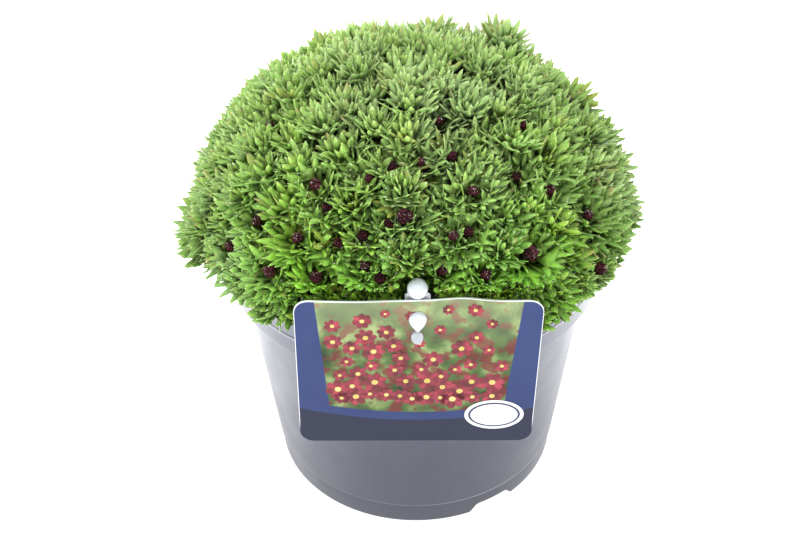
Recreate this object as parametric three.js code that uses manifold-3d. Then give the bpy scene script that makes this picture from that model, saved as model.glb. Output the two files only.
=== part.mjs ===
// A mossy saxifrage in its nursery pot, with a picture card held to the rim by a clip.
// Millimetres, +Z up. The origin is the middle of the pot's underside, and -Y is the front,
// where the card hangs. Azimuths are counted in degrees from the front towards +X.

import * as THREE from "three";
import { mergeVertices } from "three/addons/utils/BufferGeometryUtils.js";
import Module from "manifold-3d";

const wasm = await Module();
wasm.setup();

// Driving dimensions of the pot

const POT_HEIGHT = 96;
const FOOT_RADIUS = 51.5;
const WALL_TOP_RADIUS = 60.8;
const COLLAR_RADIUS = 65;
const COLLAR_BOTTOM = 82;
const BEAD_HEIGHT = 88;
const BEAD_PROUD = 0.35;
const FOOT_STEP_HEIGHT = 9;
const FOOT_STEP = 0.5;
const WALL = 1.4;
const BASE_THICKNESS = 1.8;
const EDGE = 0.8;
const POT_SIDES = 36;
const NOTCH_COUNT = 3;
const NOTCH_AZIMUTH = 32;
const NOTCH_WIDTH = 18;
const NOTCH_HEIGHT = 3.8;
const NOTCH_DEPTH = 9;

// Driving dimensions of the soil, the card and the clip

const SEAT_GAP = 0.3;
const SOIL_TOP = 86;
const SOIL_SIDES = 24;
const HOLE_DEPTH = 5;
const CARD_WIDTH = 74;
const CARD_HEIGHT = 59;
const CARD_THICKNESS = 0.6;
const CARD_CORNER = 4.5;
const CARD_CENTRE = [0.6, 86.8];
const CARD_LEAN = 1.25;
const CARD_HOLE_RADIUS = 2.1;
const CLIP_CENTRE_X = 0.8;
const CLIP_WIDTH = 7.6;
const CLIP_THICKNESS = 1.1;
const CLIP_TOP = 117;
const CLIP_OUTER_BOTTOM = 86;
const CLIP_INNER_BOTTOM = 88;
const CLIP_SLACK = 0.9;
const KNOB_RADIUS = 3.2;
const KNOB_HEIGHT = 119.4;
const BUTTON_HEIGHT = 109;
const BUTTON_RADIUS = 2.8;
const BUTTON_DEPTH = 2.3;
const BUTTON_STEM_RADIUS = 1.7;
const BUTTON_STEM_LENGTH = 3;
const TAIL_WIDTH = 3.6;
const TAIL_LENGTH = 9.4;
const TAIL_THICKNESS = 1;
const CURVE_SEGMENTS = 4;

// Driving dimensions of the plant

const DOME_CENTRE = 93;
const DOME_RADIUS = 82;
const DOME_RISE = 69;
const CELL_APEX = new THREE.Vector3(0, 0, 60);
const CELL_MARGIN = 0.62;
const PLACE_COUNT = 1400;
const EVENING_ROUNDS = 6;
const NEAR_COUNT = 5;
const WALL_COUNT = 16;
const ROSETTE_COUNT = 90;
const SHOOT_COUNT = 32;
const LOWEST_POLAR = 85;
const FRINGE_BOTTOM = 90;
const HUB_DEPTH = 9.5;
const HUB_LOWEST = 101;
const HUB_REACH = 69.5;
const HUB_SHARE = 0.36;
const HUB_SMALLEST = 3.2;
const HUB_HEIGHT = 1.6;
const HUB_RISE = 0.3;
const CARD_MARGIN = 8;
const CARD_SETBACK = 7;
const KNOB_MARGIN = 16;
const KNOB_SETBACK = 5;
const CARD_SIDE_ROOM = 3;
const KNOB_SIDE_ROOM = 11.1;
const KNOB_BACK_ROOM = 4.44;
const CLIP_BACK_ROOM = 1;
const SIGHT_SLOPE = 0.825;
const CORE_DEPTH = 7;
const LOW_CORE_DEPTH = 3.6;
const CORE_SHARE = 1.12;
const CORE_STEP = 0.05;
const SMALLEST_CORE = 0.2;
const STEM_RADIUS = 2.3;
const BRANCH_RADIUS = 1.9;
const BEND_SHARE = 0.55;
const WIDE_REACH = 8;
const STEM_REACH = 48;
const FOOT_RISE = 1.5;
const HOLE_SIDES = 5;
const START_DEPTH = 1;
const START_RADIUS = 1;
const MOST_ATTEMPTS = 40;
const THIN_ENOUGH = 0.025;
const LEAF_THICKNESS = 1.7;
const STEEPEST = 1.15;
const STEEPEST_BY_BUDS = 0.9;
const BENDING_STEPS = 30;
const BENDING = 0.06;
const BENT_SHRINK = 0.985;
const STEEP_SHRINK = 0.95;
const LEAF_LENGTH = 20;
const LEAF_SHARE = 1.75;
const LEAF_LIFT = 0.3;
const LIFT_STEP = 0.26;
const LIFT_CHANCE = 0.18;
const LENGTH_CHANCE = 0.1;
const YOUNG_LIFT = 1.35;
const YOUNG_SHARE = 0.8;
const WIDEST_SPREAD = 0.68;
const SMALLEST_SPREAD = 0.5;
const BUD_FLATNESS = 0.85;
const BUD_POLE = 0.8;
const BUD_KNOBS = 0.1;
const RIM_CLEARANCE = 1.9;
const RANDOM_SEED = 11;

// The clusters of blossom buds: polar angle from the top, azimuth, and radius

const BUD_CLUSTERS = [
  [46, -3, 3.4], [60, 31, 3.2], [42, -35, 2.6], [56, -33, 2.4], [67, -38, 2.8], [64, -25, 2.5],
  [57, -48, 2.3], [59, -13, 2.2], [68, -54, 2.1], [21, 16, 2], [32, 3, 2], [41, 20, 2.2],
  [48, 46, 2.4], [59, 54, 2.3], [74, 51, 2.7], [61, 7, 2.2], [62, 18, 2.3], [51, 11, 2.1],
  [31, 58, 2.1], [41, 96, 2.1], [38, -74, 2.1], [34, 172, 2.3], [60, -128, 2.5], [62, 146, 2.4],
];

// Colours

const POT_GREY = 0x5d5f66;
const SOIL_BROWN = 0x3b2c20;
const CARD_BLUE = 0x3d4f86;
const CLIP_WHITE = 0xe9edf0;
const LEAF_GREENS = [0x6f9a45, 0x7aa552, 0x648f47, 0x82a95c];
const BUD_MAROON = 0x4d1426;

const UP = new THREE.Vector3(0, 0, 1);

function plain(color, roughness) {
  return new THREE.MeshStandardMaterial({ color, roughness, metalness: 0 });
}

function vector(x, y, z) {
  return new THREE.Vector3(x, y, z);
}

function radians(degrees) {
  return THREE.MathUtils.degToRad(degrees);
}

// A small seeded generator, so that every run gives the same plant

function makeRandom(seed) {
  let state = seed;
  return function random() {
    state = (state + 0x6d2b79f5) | 0;
    let value = Math.imul(state ^ (state >>> 15), 1 | state);
    value = (value + Math.imul(value ^ (value >>> 7), 61 | value)) ^ value;
    return ((value ^ (value >>> 14)) >>> 0) / 4294967296;
  };
}

// Closed meshes to solids and back

function bareOf(geometry) {
  const bare = geometry.index ? geometry.toNonIndexed() : geometry.clone();
  bare.deleteAttribute("normal");
  bare.deleteAttribute("uv");
  return bare;
}

function solidOf(geometry) {
  const merged = mergeVertices(bareOf(geometry), 1e-4);
  return new wasm.Manifold(new wasm.Mesh({
    numProp: 3,
    vertProperties: new Float32Array(merged.attributes.position.array),
    triVerts: new Uint32Array(merged.index.array),
  }));
}

function geometryOf(solid) {
  const mesh = solid.getMesh();
  const geometry = new THREE.BufferGeometry();
  geometry.setAttribute("position", new THREE.BufferAttribute(new Float32Array(mesh.vertProperties), 3));
  geometry.setIndex(new THREE.BufferAttribute(new Uint32Array(mesh.triVerts), 1));
  geometry.computeVertexNormals();
  return geometry;
}

// The largest connected shell of a fused mesh, without the hollows that fusing has sealed

function outerShell(geometry) {
  const position = geometry.attributes.position;
  const index = geometry.index.array;
  const leader = Array.from({ length: position.count }, (unused, vertex) => vertex);
  const find = (vertex) => {
    let top = vertex;
    while (leader[top] !== top) {
      leader[top] = leader[leader[top]];
      top = leader[top];
    }
    return top;
  };
  for (let corner = 0; corner < index.length; corner += 3) {
    leader[find(index[corner + 1])] = find(index[corner]);
    leader[find(index[corner + 2])] = find(index[corner]);
  }
  const sizes = new Map();
  for (let corner = 0; corner < index.length; corner += 3) {
    const shell = find(index[corner]);
    sizes.set(shell, (sizes.get(shell) || 0) + 1);
  }
  const [largest] = [...sizes.entries()].sort((a, b) => b[1] - a[1])[0];
  const kept = [];
  for (let corner = 0; corner < index.length; corner += 3) {
    if (find(index[corner]) === largest) {
      kept.push(index[corner], index[corner + 1], index[corner + 2]);
    }
  }
  geometry.setIndex(kept);
  return mergeVertices(geometry.toNonIndexed());
}

function unite(solids) {
  return solids.reduce((whole, next) => whole.add(next));
}

// A closed mesh from points and faces that are listed counter-clockwise seen from outside

function meshOf(points, faces) {
  const geometry = new THREE.BufferGeometry();
  const corners = faces.flatMap((face) => face.flatMap((index) => points[index].toArray()));
  geometry.setAttribute("position", new THREE.Float32BufferAttribute(corners, 3));
  return geometry;
}

// Faces over numbered points: a fan round one point, and the bands between equal rings

function fan(ring, centre) {
  return ring.map((index, place) => [centre, index, ring[(place + 1) % ring.length]]);
}

function bands(count, sides) {
  const faces = [];
  for (let level = 0; level < count; level += 1) {
    for (let side = 0; side < sides; side += 1) {
      const a = level * sides + side;
      const b = level * sides + ((side + 1) % sides);
      faces.push([a, b, b + sides], [a, b + sides, a + sides]);
    }
  }
  return faces;
}

function startCap(sides) {
  const faces = [];
  for (let side = 1; side + 1 < sides; side += 1) {
    faces.push([0, side + 1, side]);
  }
  return faces;
}

// A closed skin over rings of equal size, flat at the start and drawn to a point at the end

function loft(rings, tip) {
  const sides = rings[0].length;
  const points = [...rings.flat(), tip];
  const last = (rings.length - 1) * sides;
  return meshOf(points, [
    ...bands(rings.length - 1, sides),
    ...startCap(sides),
    ...fan(rings[0].map((point, side) => last + side), points.length - 1),
  ]);
}

// Two directions square to an axis, so that (first, second, axis) is right-handed

function squareTo(axis) {
  const helper = Math.abs(axis.z) > 0.9 ? vector(1, 0, 0) : UP;
  const first = helper.clone().cross(axis).normalize();
  const second = axis.clone().cross(first).normalize();
  return [first, second];
}

function ringAround(centre, axis, radius, sides, phase = 0) {
  const [first, second] = squareTo(axis);
  const ring = [];
  for (let side = 0; side < sides; side += 1) {
    const turn = phase + (side / sides) * 2 * Math.PI;
    const point = centre.clone();
    point.addScaledVector(first, radius * Math.cos(turn));
    point.addScaledVector(second, radius * Math.sin(turn));
    ring.push(point);
  }
  return ring;
}

// The pot: one moulded shell with a collar, a low step round the foot and three drain notches

function latheUpright(profile, sides) {
  const geometry = new THREE.LatheGeometry(profile.map(([r, z]) => new THREE.Vector2(r, z)), sides);
  geometry.rotateX(Math.PI / 2);
  return geometry;
}

function wallRadius(height) {
  const share = height / COLLAR_BOTTOM;
  return FOOT_RADIUS + share * (WALL_TOP_RADIUS - FOOT_RADIUS);
}

function makePot() {
  const inside = COLLAR_RADIUS - WALL;
  const profile = [
    [0, 0],
    [FOOT_RADIUS - EDGE, 0],
    [FOOT_RADIUS, EDGE],
    [wallRadius(FOOT_STEP_HEIGHT) - FOOT_STEP, FOOT_STEP_HEIGHT],
    [wallRadius(FOOT_STEP_HEIGHT), FOOT_STEP_HEIGHT + FOOT_STEP],
    [WALL_TOP_RADIUS, COLLAR_BOTTOM],
    [COLLAR_RADIUS, COLLAR_BOTTOM],
    [COLLAR_RADIUS, BEAD_HEIGHT - EDGE],
    [COLLAR_RADIUS + BEAD_PROUD, BEAD_HEIGHT],
    [COLLAR_RADIUS, BEAD_HEIGHT + EDGE],
    [COLLAR_RADIUS, POT_HEIGHT - EDGE],
    [COLLAR_RADIUS - EDGE / 2, POT_HEIGHT],
    [inside, POT_HEIGHT],
    [inside, COLLAR_BOTTOM + WALL],
    [WALL_TOP_RADIUS - WALL, COLLAR_BOTTOM - WALL],
    [wallRadius(BASE_THICKNESS) - WALL, BASE_THICKNESS],
    [0, BASE_THICKNESS],
  ];
  let pot = solidOf(latheUpright(profile, POT_SIDES));
  for (let index = 0; index < NOTCH_COUNT; index += 1) {
    const turn = radians(NOTCH_AZIMUTH + (index * 360) / NOTCH_COUNT);
    const notch = new THREE.BoxGeometry(NOTCH_WIDTH, 2 * NOTCH_DEPTH, 2 * NOTCH_HEIGHT);
    notch.translate(0, -FOOT_RADIUS, 0);
    notch.rotateZ(turn);
    pot = pot.subtract(solidOf(notch));
  }
  return geometryOf(pot);
}

// The soil: it fills the pot to just under the rim, with a plain hole for each stem

function makeSoil(stems) {
  const bottom = BASE_THICKNESS + SEAT_GAP;
  const inside = WALL + SEAT_GAP;
  const floorRadius = wallRadius(bottom) - inside;
  const profile = [
    [0, bottom],
    [floorRadius - NOTCH_DEPTH, bottom],
    [wallRadius(bottom + NOTCH_HEIGHT) - inside, bottom + NOTCH_HEIGHT],
    [WALL_TOP_RADIUS - inside, COLLAR_BOTTOM - WALL],
    [COLLAR_RADIUS - inside, COLLAR_BOTTOM + WALL + SEAT_GAP],
    [COLLAR_RADIUS - inside, SOIL_TOP],
    [0, SOIL_TOP],
  ];
  let soil = solidOf(latheUpright(profile, SOIL_SIDES));
  for (const stem of stems) {
    const start = vector(stem.x, stem.y, SOIL_TOP - HOLE_DEPTH);
    const end = vector(stem.x, stem.y, SOIL_TOP + HOLE_DEPTH);
    const radius = (STEM_RADIUS + SEAT_GAP) / Math.cos(Math.PI / HOLE_SIDES);
    const rings = [ringAround(start, UP, radius, HOLE_SIDES), ringAround(end, UP, radius, HOLE_SIDES)];
    soil = soil.subtract(solidOf(loft(rings, end)));
  }
  return geometryOf(soil);
}

// The card: a thin sheet with rounded corners that hangs against the front of the collar

const CLIP_BACK = -(COLLAR_RADIUS + BEAD_PROUD + SEAT_GAP);
const CARD_BACK = CLIP_BACK - CLIP_THICKNESS - SEAT_GAP;
const CARD_FRONT = CARD_BACK - CARD_THICKNESS;

function roundedRectangle(width, height, corner) {
  const x = width / 2;
  const y = height / 2;
  const shape = new THREE.Shape();
  shape.moveTo(-x + corner, -y);
  shape.lineTo(x - corner, -y);
  shape.absarc(x - corner, -y + corner, corner, -Math.PI / 2, 0, false);
  shape.lineTo(x, y - corner);
  shape.absarc(x - corner, y - corner, corner, 0, Math.PI / 2, false);
  shape.lineTo(-x + corner, y);
  shape.absarc(-x + corner, y - corner, corner, Math.PI / 2, Math.PI, false);
  shape.lineTo(-x, -y + corner);
  shape.absarc(-x + corner, -y + corner, corner, Math.PI, 1.5 * Math.PI, false);
  return shape;
}

function makeCard() {
  const shape = roundedRectangle(CARD_WIDTH, CARD_HEIGHT, CARD_CORNER);
  const hole = new THREE.Path();
  const lean = radians(CARD_LEAN);
  const rise = BUTTON_HEIGHT - CARD_CENTRE[1];
  hole.absarc(rise * Math.sin(-lean), rise * Math.cos(lean), CARD_HOLE_RADIUS, 0, 2 * Math.PI, true);
  shape.holes.push(hole);
  const card = new THREE.ExtrudeGeometry(shape, {
    depth: CARD_THICKNESS,
    bevelEnabled: false,
    curveSegments: CURVE_SEGMENTS,
  });
  card.rotateX(Math.PI / 2);
  card.rotateY(lean);
  card.translate(CARD_CENTRE[0], CARD_BACK, CARD_CENTRE[1]);
  return card;
}

// The clip: a strip hooked over the rim, with a knob above the card and a button through it

function slab(width, front, back, bottom, top) {
  const box = new THREE.BoxGeometry(width, back - front, top - bottom);
  box.translate(CLIP_CENTRE_X, (front + back) / 2, (bottom + top) / 2);
  return solidOf(box);
}

function makeClip() {
  const front = CLIP_BACK - CLIP_THICKNESS;
  const legFront = -(COLLAR_RADIUS - WALL) + CLIP_SLACK;
  const legBack = legFront + CLIP_THICKNESS;
  const bridge = POT_HEIGHT + SEAT_GAP;
  const bridgeTop = bridge + CLIP_THICKNESS;
  const strip = slab(CLIP_WIDTH, front, CLIP_BACK, CLIP_OUTER_BOTTOM, CLIP_TOP);
  const top = slab(CLIP_WIDTH, front, legBack, bridge, bridgeTop);
  const leg = slab(CLIP_WIDTH, legFront, legBack, CLIP_INNER_BOTTOM, bridgeTop);

  const knob = new THREE.SphereGeometry(KNOB_RADIUS, 12, 7);
  knob.translate(CLIP_CENTRE_X, front + CLIP_THICKNESS / 2, KNOB_HEIGHT);

  const stem = new THREE.CylinderGeometry(BUTTON_STEM_RADIUS, BUTTON_STEM_RADIUS, BUTTON_STEM_LENGTH, 10);
  stem.translate(CLIP_CENTRE_X, CARD_FRONT, BUTTON_HEIGHT);

  const face = CARD_FRONT - SEAT_GAP;
  const button = latheUpright([
    [0, 0],
    [BUTTON_RADIUS, 0],
    [BUTTON_RADIUS, BUTTON_DEPTH / 2],
    [BUTTON_RADIUS / 2, BUTTON_DEPTH],
    [0, BUTTON_DEPTH],
  ], 12);
  button.rotateX(Math.PI / 2);
  button.translate(CLIP_CENTRE_X, face, BUTTON_HEIGHT);

  const tail = slab(TAIL_WIDTH, face - TAIL_THICKNESS, face, BUTTON_HEIGHT - TAIL_LENGTH, BUTTON_HEIGHT);
  return geometryOf(unite([strip, top, leg, solidOf(knob), solidOf(stem), solidOf(button), tail]));
}

// Places on the dome that the leaf tips reach

function domePoint(polar, azimuth) {
  return vector(
    DOME_RADIUS * Math.sin(polar) * Math.sin(azimuth),
    -DOME_RADIUS * Math.sin(polar) * Math.cos(azimuth),
    DOME_CENTRE + DOME_RISE * Math.cos(polar),
  );
}

function domeNormal(point) {
  const normal = vector(
    point.x / DOME_RADIUS ** 2,
    point.y / DOME_RADIUS ** 2,
    (point.z - DOME_CENTRE) / DOME_RISE ** 2,
  );
  return normal.normalize();
}

// Rosette centres: the ones with buds are given, and the others fill the widest places left

function golden(index, count) {
  const lowest = Math.cos(radians(LOWEST_POLAR));
  const polar = Math.acos(1 - (1 - lowest) * ((index + 0.5) / count));
  return domePoint(polar, index * Math.PI * (3 - Math.sqrt(5)));
}

function nearestIndex(point, centres) {
  let best = 0;
  for (let index = 1; index < centres.length; index += 1) {
    if (point.distanceToSquared(centres[index]) < point.distanceToSquared(centres[best])) {
      best = index;
    }
  }
  return best;
}

function fillWidest(points, centres, count) {
  while (centres.length < count) {
    const room = points.map((point) => point.distanceTo(centres[nearestIndex(point, centres)]));
    centres.push(points[room.indexOf(Math.max(...room))].clone());
  }
}

function meanOf(points) {
  return points.reduce((sum, point) => sum.add(point), vector(0, 0, 0)).divideScalar(points.length);
}

function evenOut(points, centres, fixed, rounds) {
  for (let round = 0; round < rounds; round += 1) {
    const shares = centres.map(() => []);
    points.forEach((point) => shares[nearestIndex(point, centres)].push(point));
    shares.forEach((share, index) => {
      if (index >= fixed && share.length > 0) {
        const middle = meanOf(share);
        centres[index] = points[nearestIndex(middle, points)].clone();
      }
    });
  }
}

function chooseCentres() {
  const points = [];
  for (let index = 0; index < PLACE_COUNT; index += 1) {
    points.push(golden(index, PLACE_COUNT));
  }
  const centres = BUD_CLUSTERS.map(([polar, azimuth]) => domePoint(radians(polar), radians(azimuth)));
  fillWidest(points, centres, ROSETTE_COUNT);
  evenOut(points, centres, BUD_CLUSTERS.length, EVENING_ROUNDS);
  return centres;
}

// Each rosette grows inside a cone of its own, whose walls all pass through one point
// low in the pot, so that what stays in its cone meets no other rosette

function makeRosettes() {
  const rosettes = chooseCentres().map((tip, index) => {
    const normal = domeNormal(tip);
    const axis = normal.clone().addScaledVector(UP, HUB_RISE).normalize();
    const hub = tip.clone().addScaledVector(normal, -HUB_DEPTH);
    return { index, tip, axis, hub, hasBuds: index < BUD_CLUSTERS.length };
  });
  for (const rosette of rosettes) {
    placeHub(rosette);
    rosette.direction = rosette.hub.clone().sub(CELL_APEX).normalize();
  }
  for (const rosette of rosettes) {
    const others = rosettes.filter((other) => other !== rosette);
    others.sort((a, b) => a.hub.distanceTo(rosette.hub) - b.hub.distanceTo(rosette.hub));
    const near = others.slice(0, NEAR_COUNT);
    const distance = near.reduce((sum, other) => sum + other.hub.distanceTo(rosette.hub), 0) / NEAR_COUNT;
    rosette.reach = distance / 2;
    rosette.swell = Math.max(HUB_SMALLEST, HUB_SHARE * rosette.reach);
    rosette.walls = others.slice(0, WALL_COUNT).map((other) => (
      other.direction.clone().sub(rosette.direction).normalize()
    ));
  }
  return rosettes;
}

// The lowest hubs lie just over the rim, and those behind the card are pressed back

function placeHub(rosette) {
  const hub = rosette.hub;
  if (hub.z < HUB_LOWEST) {
    hub.z = HUB_LOWEST;
    const across = Math.hypot(hub.x, hub.y);
    hub.x *= HUB_REACH / across;
    hub.y *= HUB_REACH / across;
  }
  const isInFront = hub.y < 0;
  const isByCard = Math.abs(hub.x) < CARD_WIDTH / 2 + CARD_MARGIN;
  const isByKnob = Math.abs(hub.x - CLIP_CENTRE_X) < KNOB_MARGIN;
  rosette.behindCard = isInFront && isByCard && hub.z < CARD_CENTRE[1] + CARD_HEIGHT / 2;
  rosette.behindKnob = isInFront && isByKnob && hub.z < KNOB_HEIGHT + 2 * KNOB_RADIUS;
  if (rosette.behindCard) {
    hub.y = Math.max(hub.y, -COLLAR_RADIUS + CARD_SETBACK);
  } else if (rosette.behindKnob) {
    hub.y = Math.max(hub.y, -COLLAR_RADIUS + KNOB_SETBACK);
  }
}

// Whether a leaf point stays in its cone, off the rim, and off the card and its clip.
// Over the card, leaves may reach out only above the line of sight to the card's upper edge.

function isClear(point, rosette) {
  const arm = point.clone().sub(CELL_APEX);
  if (rosette.walls.some((wall) => wall.dot(arm) > -CELL_MARGIN)) {
    return false;
  }
  const across = Math.hypot(point.x, point.y);
  if (across < COLLAR_RADIUS + RIM_CLEARANCE && point.z < POT_HEIGHT + RIM_CLEARANCE + SEAT_GAP) {
    return false;
  }
  if (point.z < FRINGE_BOTTOM) {
    return false;
  }
  if (point.y > 0 || Math.abs(point.x) > CARD_WIDTH / 2 + CARD_SIDE_ROOM) {
    return true;
  }
  if (rosette.behindKnob && Math.abs(point.x - CLIP_CENTRE_X) < KNOB_SIDE_ROOM) {
    return point.y > CLIP_BACK + KNOB_BACK_ROOM;
  }
  if (rosette.behindCard || rosette.behindKnob) {
    return point.y > CLIP_BACK + CLIP_BACK_ROOM;
  }
  return point.z - CLIP_TOP > SIGHT_SLOPE * (CARD_BACK - point.y);
}

// A leaf: a wedge cut into three pointed lobes, as a thin arched solid with a ridge on each lobe.
// Its outline is given as shares of its length, from its left lobe to its right lobe.

const LEAF_OUTLINE = [
  [0.8, -0.45, 0.02],
  [0.43, -0.16, 0.07],
  [1, 0, -0.02],
  [0.43, 0.16, 0.07],
  [0.8, 0.45, 0.02],
];
const LEAF_RIDGE = [0.1, 0, 0.04];

function leafPoints(leaf, lift, length) {
  const { axis, outward, side, root } = leaf;
  const along = outward.clone().multiplyScalar(Math.cos(lift)).addScaledVector(axis, Math.sin(lift));
  const face = along.clone().cross(side).normalize();
  const place = ([out, across, rise]) => {
    const point = root.clone().addScaledVector(along, out * length);
    point.addScaledVector(face, rise * length);
    const widest = WIDEST_SPREAD * point.clone().sub(leaf.middle).dot(outward);
    const spread = Math.min(Math.abs(across) * length, Math.max(widest, SMALLEST_SPREAD));
    return point.addScaledVector(side, Math.sign(across) * spread);
  };
  const ridge = place(LEAF_RIDGE);
  return {
    outline: LEAF_OUTLINE.map(place),
    top: ridge.clone().addScaledVector(face, LEAF_THICKNESS / 2),
    bottom: ridge.clone().addScaledVector(face, -LEAF_THICKNESS / 2),
  };
}

// A leaf that would leave its place is bent up, and grows a little shorter

function growLeaf(rosette, leaf, lift, length) {
  const limit = Math.max(lift, rosette.hasBuds ? STEEPEST_BY_BUDS : STEEPEST);
  let bent = lift;
  let grown = length;
  let points = leafPoints(leaf, bent, grown);
  const isFree = () => points.outline.every((point) => isClear(point, rosette));
  for (let step = 0; step < BENDING_STEPS && !isFree(); step += 1) {
    bent = Math.min(bent + BENDING, limit);
    grown *= bent < limit ? BENT_SHRINK : STEEP_SHRINK;
    points = leafPoints(leaf, bent, grown);
  }
  return points;
}

function leafFrame(rosette, turn, spread, depth) {
  const [first, second] = squareTo(rosette.axis);
  const outward = first.clone().multiplyScalar(Math.cos(turn)).addScaledVector(second, Math.sin(turn));
  const side = rosette.axis.clone().cross(outward).normalize();
  const root = rosette.hub.clone().addScaledVector(outward, spread);
  root.addScaledVector(rosette.axis, -depth);
  return { axis: rosette.axis, middle: rosette.hub, outward, side, root };
}

// The widest ring of a rosette's core, which keeps clear as the leaves do

function coreRing(rosette, sides, phase) {
  const isLow = rosette.hub.z < HUB_LOWEST + CORE_DEPTH;
  const centre = rosette.hub.clone().addScaledVector(rosette.axis, isLow ? -LOW_CORE_DEPTH : -CORE_DEPTH);
  return ringAround(centre, rosette.axis, CORE_SHARE * rosette.reach, sides, phase).map((corner) => {
    for (let share = 1; share > SMALLEST_CORE; share -= CORE_STEP) {
      const point = centre.clone().lerp(corner, share);
      if (isClear(point, rosette) && point.z > POT_HEIGHT + RIM_CLEARANCE) {
        return point;
      }
    }
    return centre.clone().lerp(corner, SMALLEST_CORE);
  });
}

// A leaf's faces: it grows out of a gap between inner points and outer points of the skin

function leafFaces(leaf, points, inner, outer) {
  const first = points.length;
  points.push(...leaf.outline, leaf.top, leaf.bottom);
  const lobes = leaf.outline.map((point, index) => first + index);
  const last = lobes[lobes.length - 1];
  const faces = [
    ...fan([inner[0], ...lobes, ...inner.slice(1)], last + 1),
    ...fan([outer[1], ...[...lobes].reverse(), outer[0]], last + 2),
  ];
  faces.push([lobes[0], inner[0], outer[0]], [inner[inner.length - 1], last, outer[1]]);
  return faces;
}

// A rosette on its branch, in one skin: the branch rises from the stem's foot, clears the rim,
// and swells into a core and a hub, and each side of the hub grows out into a leaf

function makeRosette(start, foot, rosette, random) {
  const { hub, axis } = rosette;
  const sides = rosette.reach > WIDE_REACH ? 5 : 4;
  const length = Math.min(LEAF_LENGTH, LEAF_SHARE * rosette.reach) - rosette.swell;
  const phase = random() * 2 * Math.PI;
  const bend = foot.clone().lerp(hub, BEND_SHARE);
  bend.z = hub.z < HUB_LOWEST + CORE_DEPTH ? HUB_LOWEST + 1 : bend.z;
  const rise = bend.clone().sub(foot).normalize();
  const under = hub.clone().addScaledVector(axis, -HUB_HEIGHT - LEAF_THICKNESS);
  const over = hub.clone().addScaledVector(axis, -HUB_HEIGHT);
  const approach = under.clone().sub(bend).normalize().add(axis).normalize();
  const spread = rosette.swell * Math.cos(Math.PI / sides);
  const rings = [
    ...start(sides, phase, rise),
    ringAround(bend, rise.clone().add(approach).normalize(), BRANCH_RADIUS, sides, phase),
    coreRing(rosette, sides, phase),
    ringAround(under, axis, rosette.swell, sides, phase),
    ringAround(over, axis, rosette.swell, sides, phase),
  ];
  const points = [...rings.flat(), hub];
  const lower = (rings.length - 2) * sides;
  const upper = lower + sides;
  const apex = upper + sides;
  const faces = [...bands(rings.length - 2, sides), ...startCap(sides)];
  for (let side = 0; side < sides; side += 1) {
    const next = (side + 1) % sides;
    const turn = phase + ((side + 0.5) / sides) * 2 * Math.PI;
    const frame = leafFrame(rosette, turn, spread, HUB_HEIGHT + LEAF_THICKNESS / 2);
    const lift = LEAF_LIFT + (side % 2) * LIFT_STEP + LIFT_CHANCE * random();
    const leaf = growLeaf(rosette, frame, lift, length * (1 - LENGTH_CHANCE * random()));
    faces.push(...leafFaces(leaf, points, [upper + side, upper + next], [lower + side, lower + next]));
    if (side === 0 && !rosette.hasBuds) {
      const heart = leafFrame(rosette, turn, spread / 2, HUB_HEIGHT / 2);
      const young = growLeaf(rosette, heart, YOUNG_LIFT, YOUNG_SHARE * (length + rosette.swell));
      faces.push(...leafFaces(young, points, [apex], [upper + side, upper + next]));
    } else {
      faces.push([apex, upper + side, upper + next]);
    }
  }
  return solidOf(meshOf(points, faces));
}

// Shoots: neighbouring rosettes share a stem, which stands in the soil

function groupRosettes(rosettes) {
  const hubs = rosettes.map((rosette) => rosette.hub);
  const seeds = [hubs[0].clone()];
  fillWidest(hubs, seeds, SHOOT_COUNT);
  evenOut(hubs, seeds, 0, 1);
  const groups = seeds.map(() => []);
  rosettes.forEach((rosette) => groups[nearestIndex(rosette.hub, seeds)].push(rosette));
  return groups.filter((group) => group.length > 0);
}

function footOf(group) {
  const places = group.map(({ direction }) => {
    const scale = (SOIL_TOP - CELL_APEX.z) / direction.z;
    return vector(direction.x * scale, direction.y * scale, 0);
  });
  const foot = meanOf(places).clampLength(0, STEM_REACH);
  foot.z = SOIL_TOP + FOOT_RISE;
  return foot;
}

// The first branch of a shoot goes down into the soil, and the others start inside its foot

function startInSoil(foot) {
  const bottom = vector(foot.x, foot.y, SOIL_TOP - HOLE_DEPTH + SEAT_GAP);
  return (sides, phase) => [
    ringAround(bottom, UP, STEM_RADIUS, sides, phase),
    ringAround(foot, UP, STEM_RADIUS, sides, phase),
  ];
}

function startInFoot(foot) {
  return (sides, phase, rise) => {
    const start = foot.clone().addScaledVector(UP, -START_DEPTH);
    return [ringAround(start, rise, START_RADIUS, sides, phase)];
  };
}

function thinnestFace(geometry) {
  const position = geometry.attributes.position;
  const index = geometry.index.array;
  const corners = [vector(0, 0, 0), vector(0, 0, 0), vector(0, 0, 0)];
  let thinnest = Infinity;
  for (let face = 0; face < index.length; face += 3) {
    corners.forEach((corner, place) => corner.fromBufferAttribute(position, index[face + place]));
    const [a, b, c] = corners;
    const longest = Math.max(a.distanceTo(b), b.distanceTo(c), c.distanceTo(a));
    const area = new THREE.Triangle(a, b, c).getArea();
    thinnest = Math.min(thinnest, (2 * area) / longest);
  }
  return thinnest;
}

// A shoot is grown anew until no sliver of a face is left where its branches meet

function makeShoot(group, foot, random) {
  let best = null;
  let bestThinnest = 0;
  for (let attempt = 0; attempt < MOST_ATTEMPTS && bestThinnest < THIN_ENOUGH; attempt += 1) {
    const pieces = group.map((rosette, index) => {
      const start = index === 0 ? startInSoil(foot) : startInFoot(foot);
      return makeRosette(start, foot, rosette, random);
    });
    const shoot = outerShell(geometryOf(unite(pieces)));
    const thinnest = thinnestFace(shoot);
    if (thinnest > bestThinnest) {
      best = shoot;
      bestThinnest = thinnest;
    }
  }
  return best;
}

// A cluster of round buds: a knobbly ball, seated in the heart of its rosette

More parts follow.
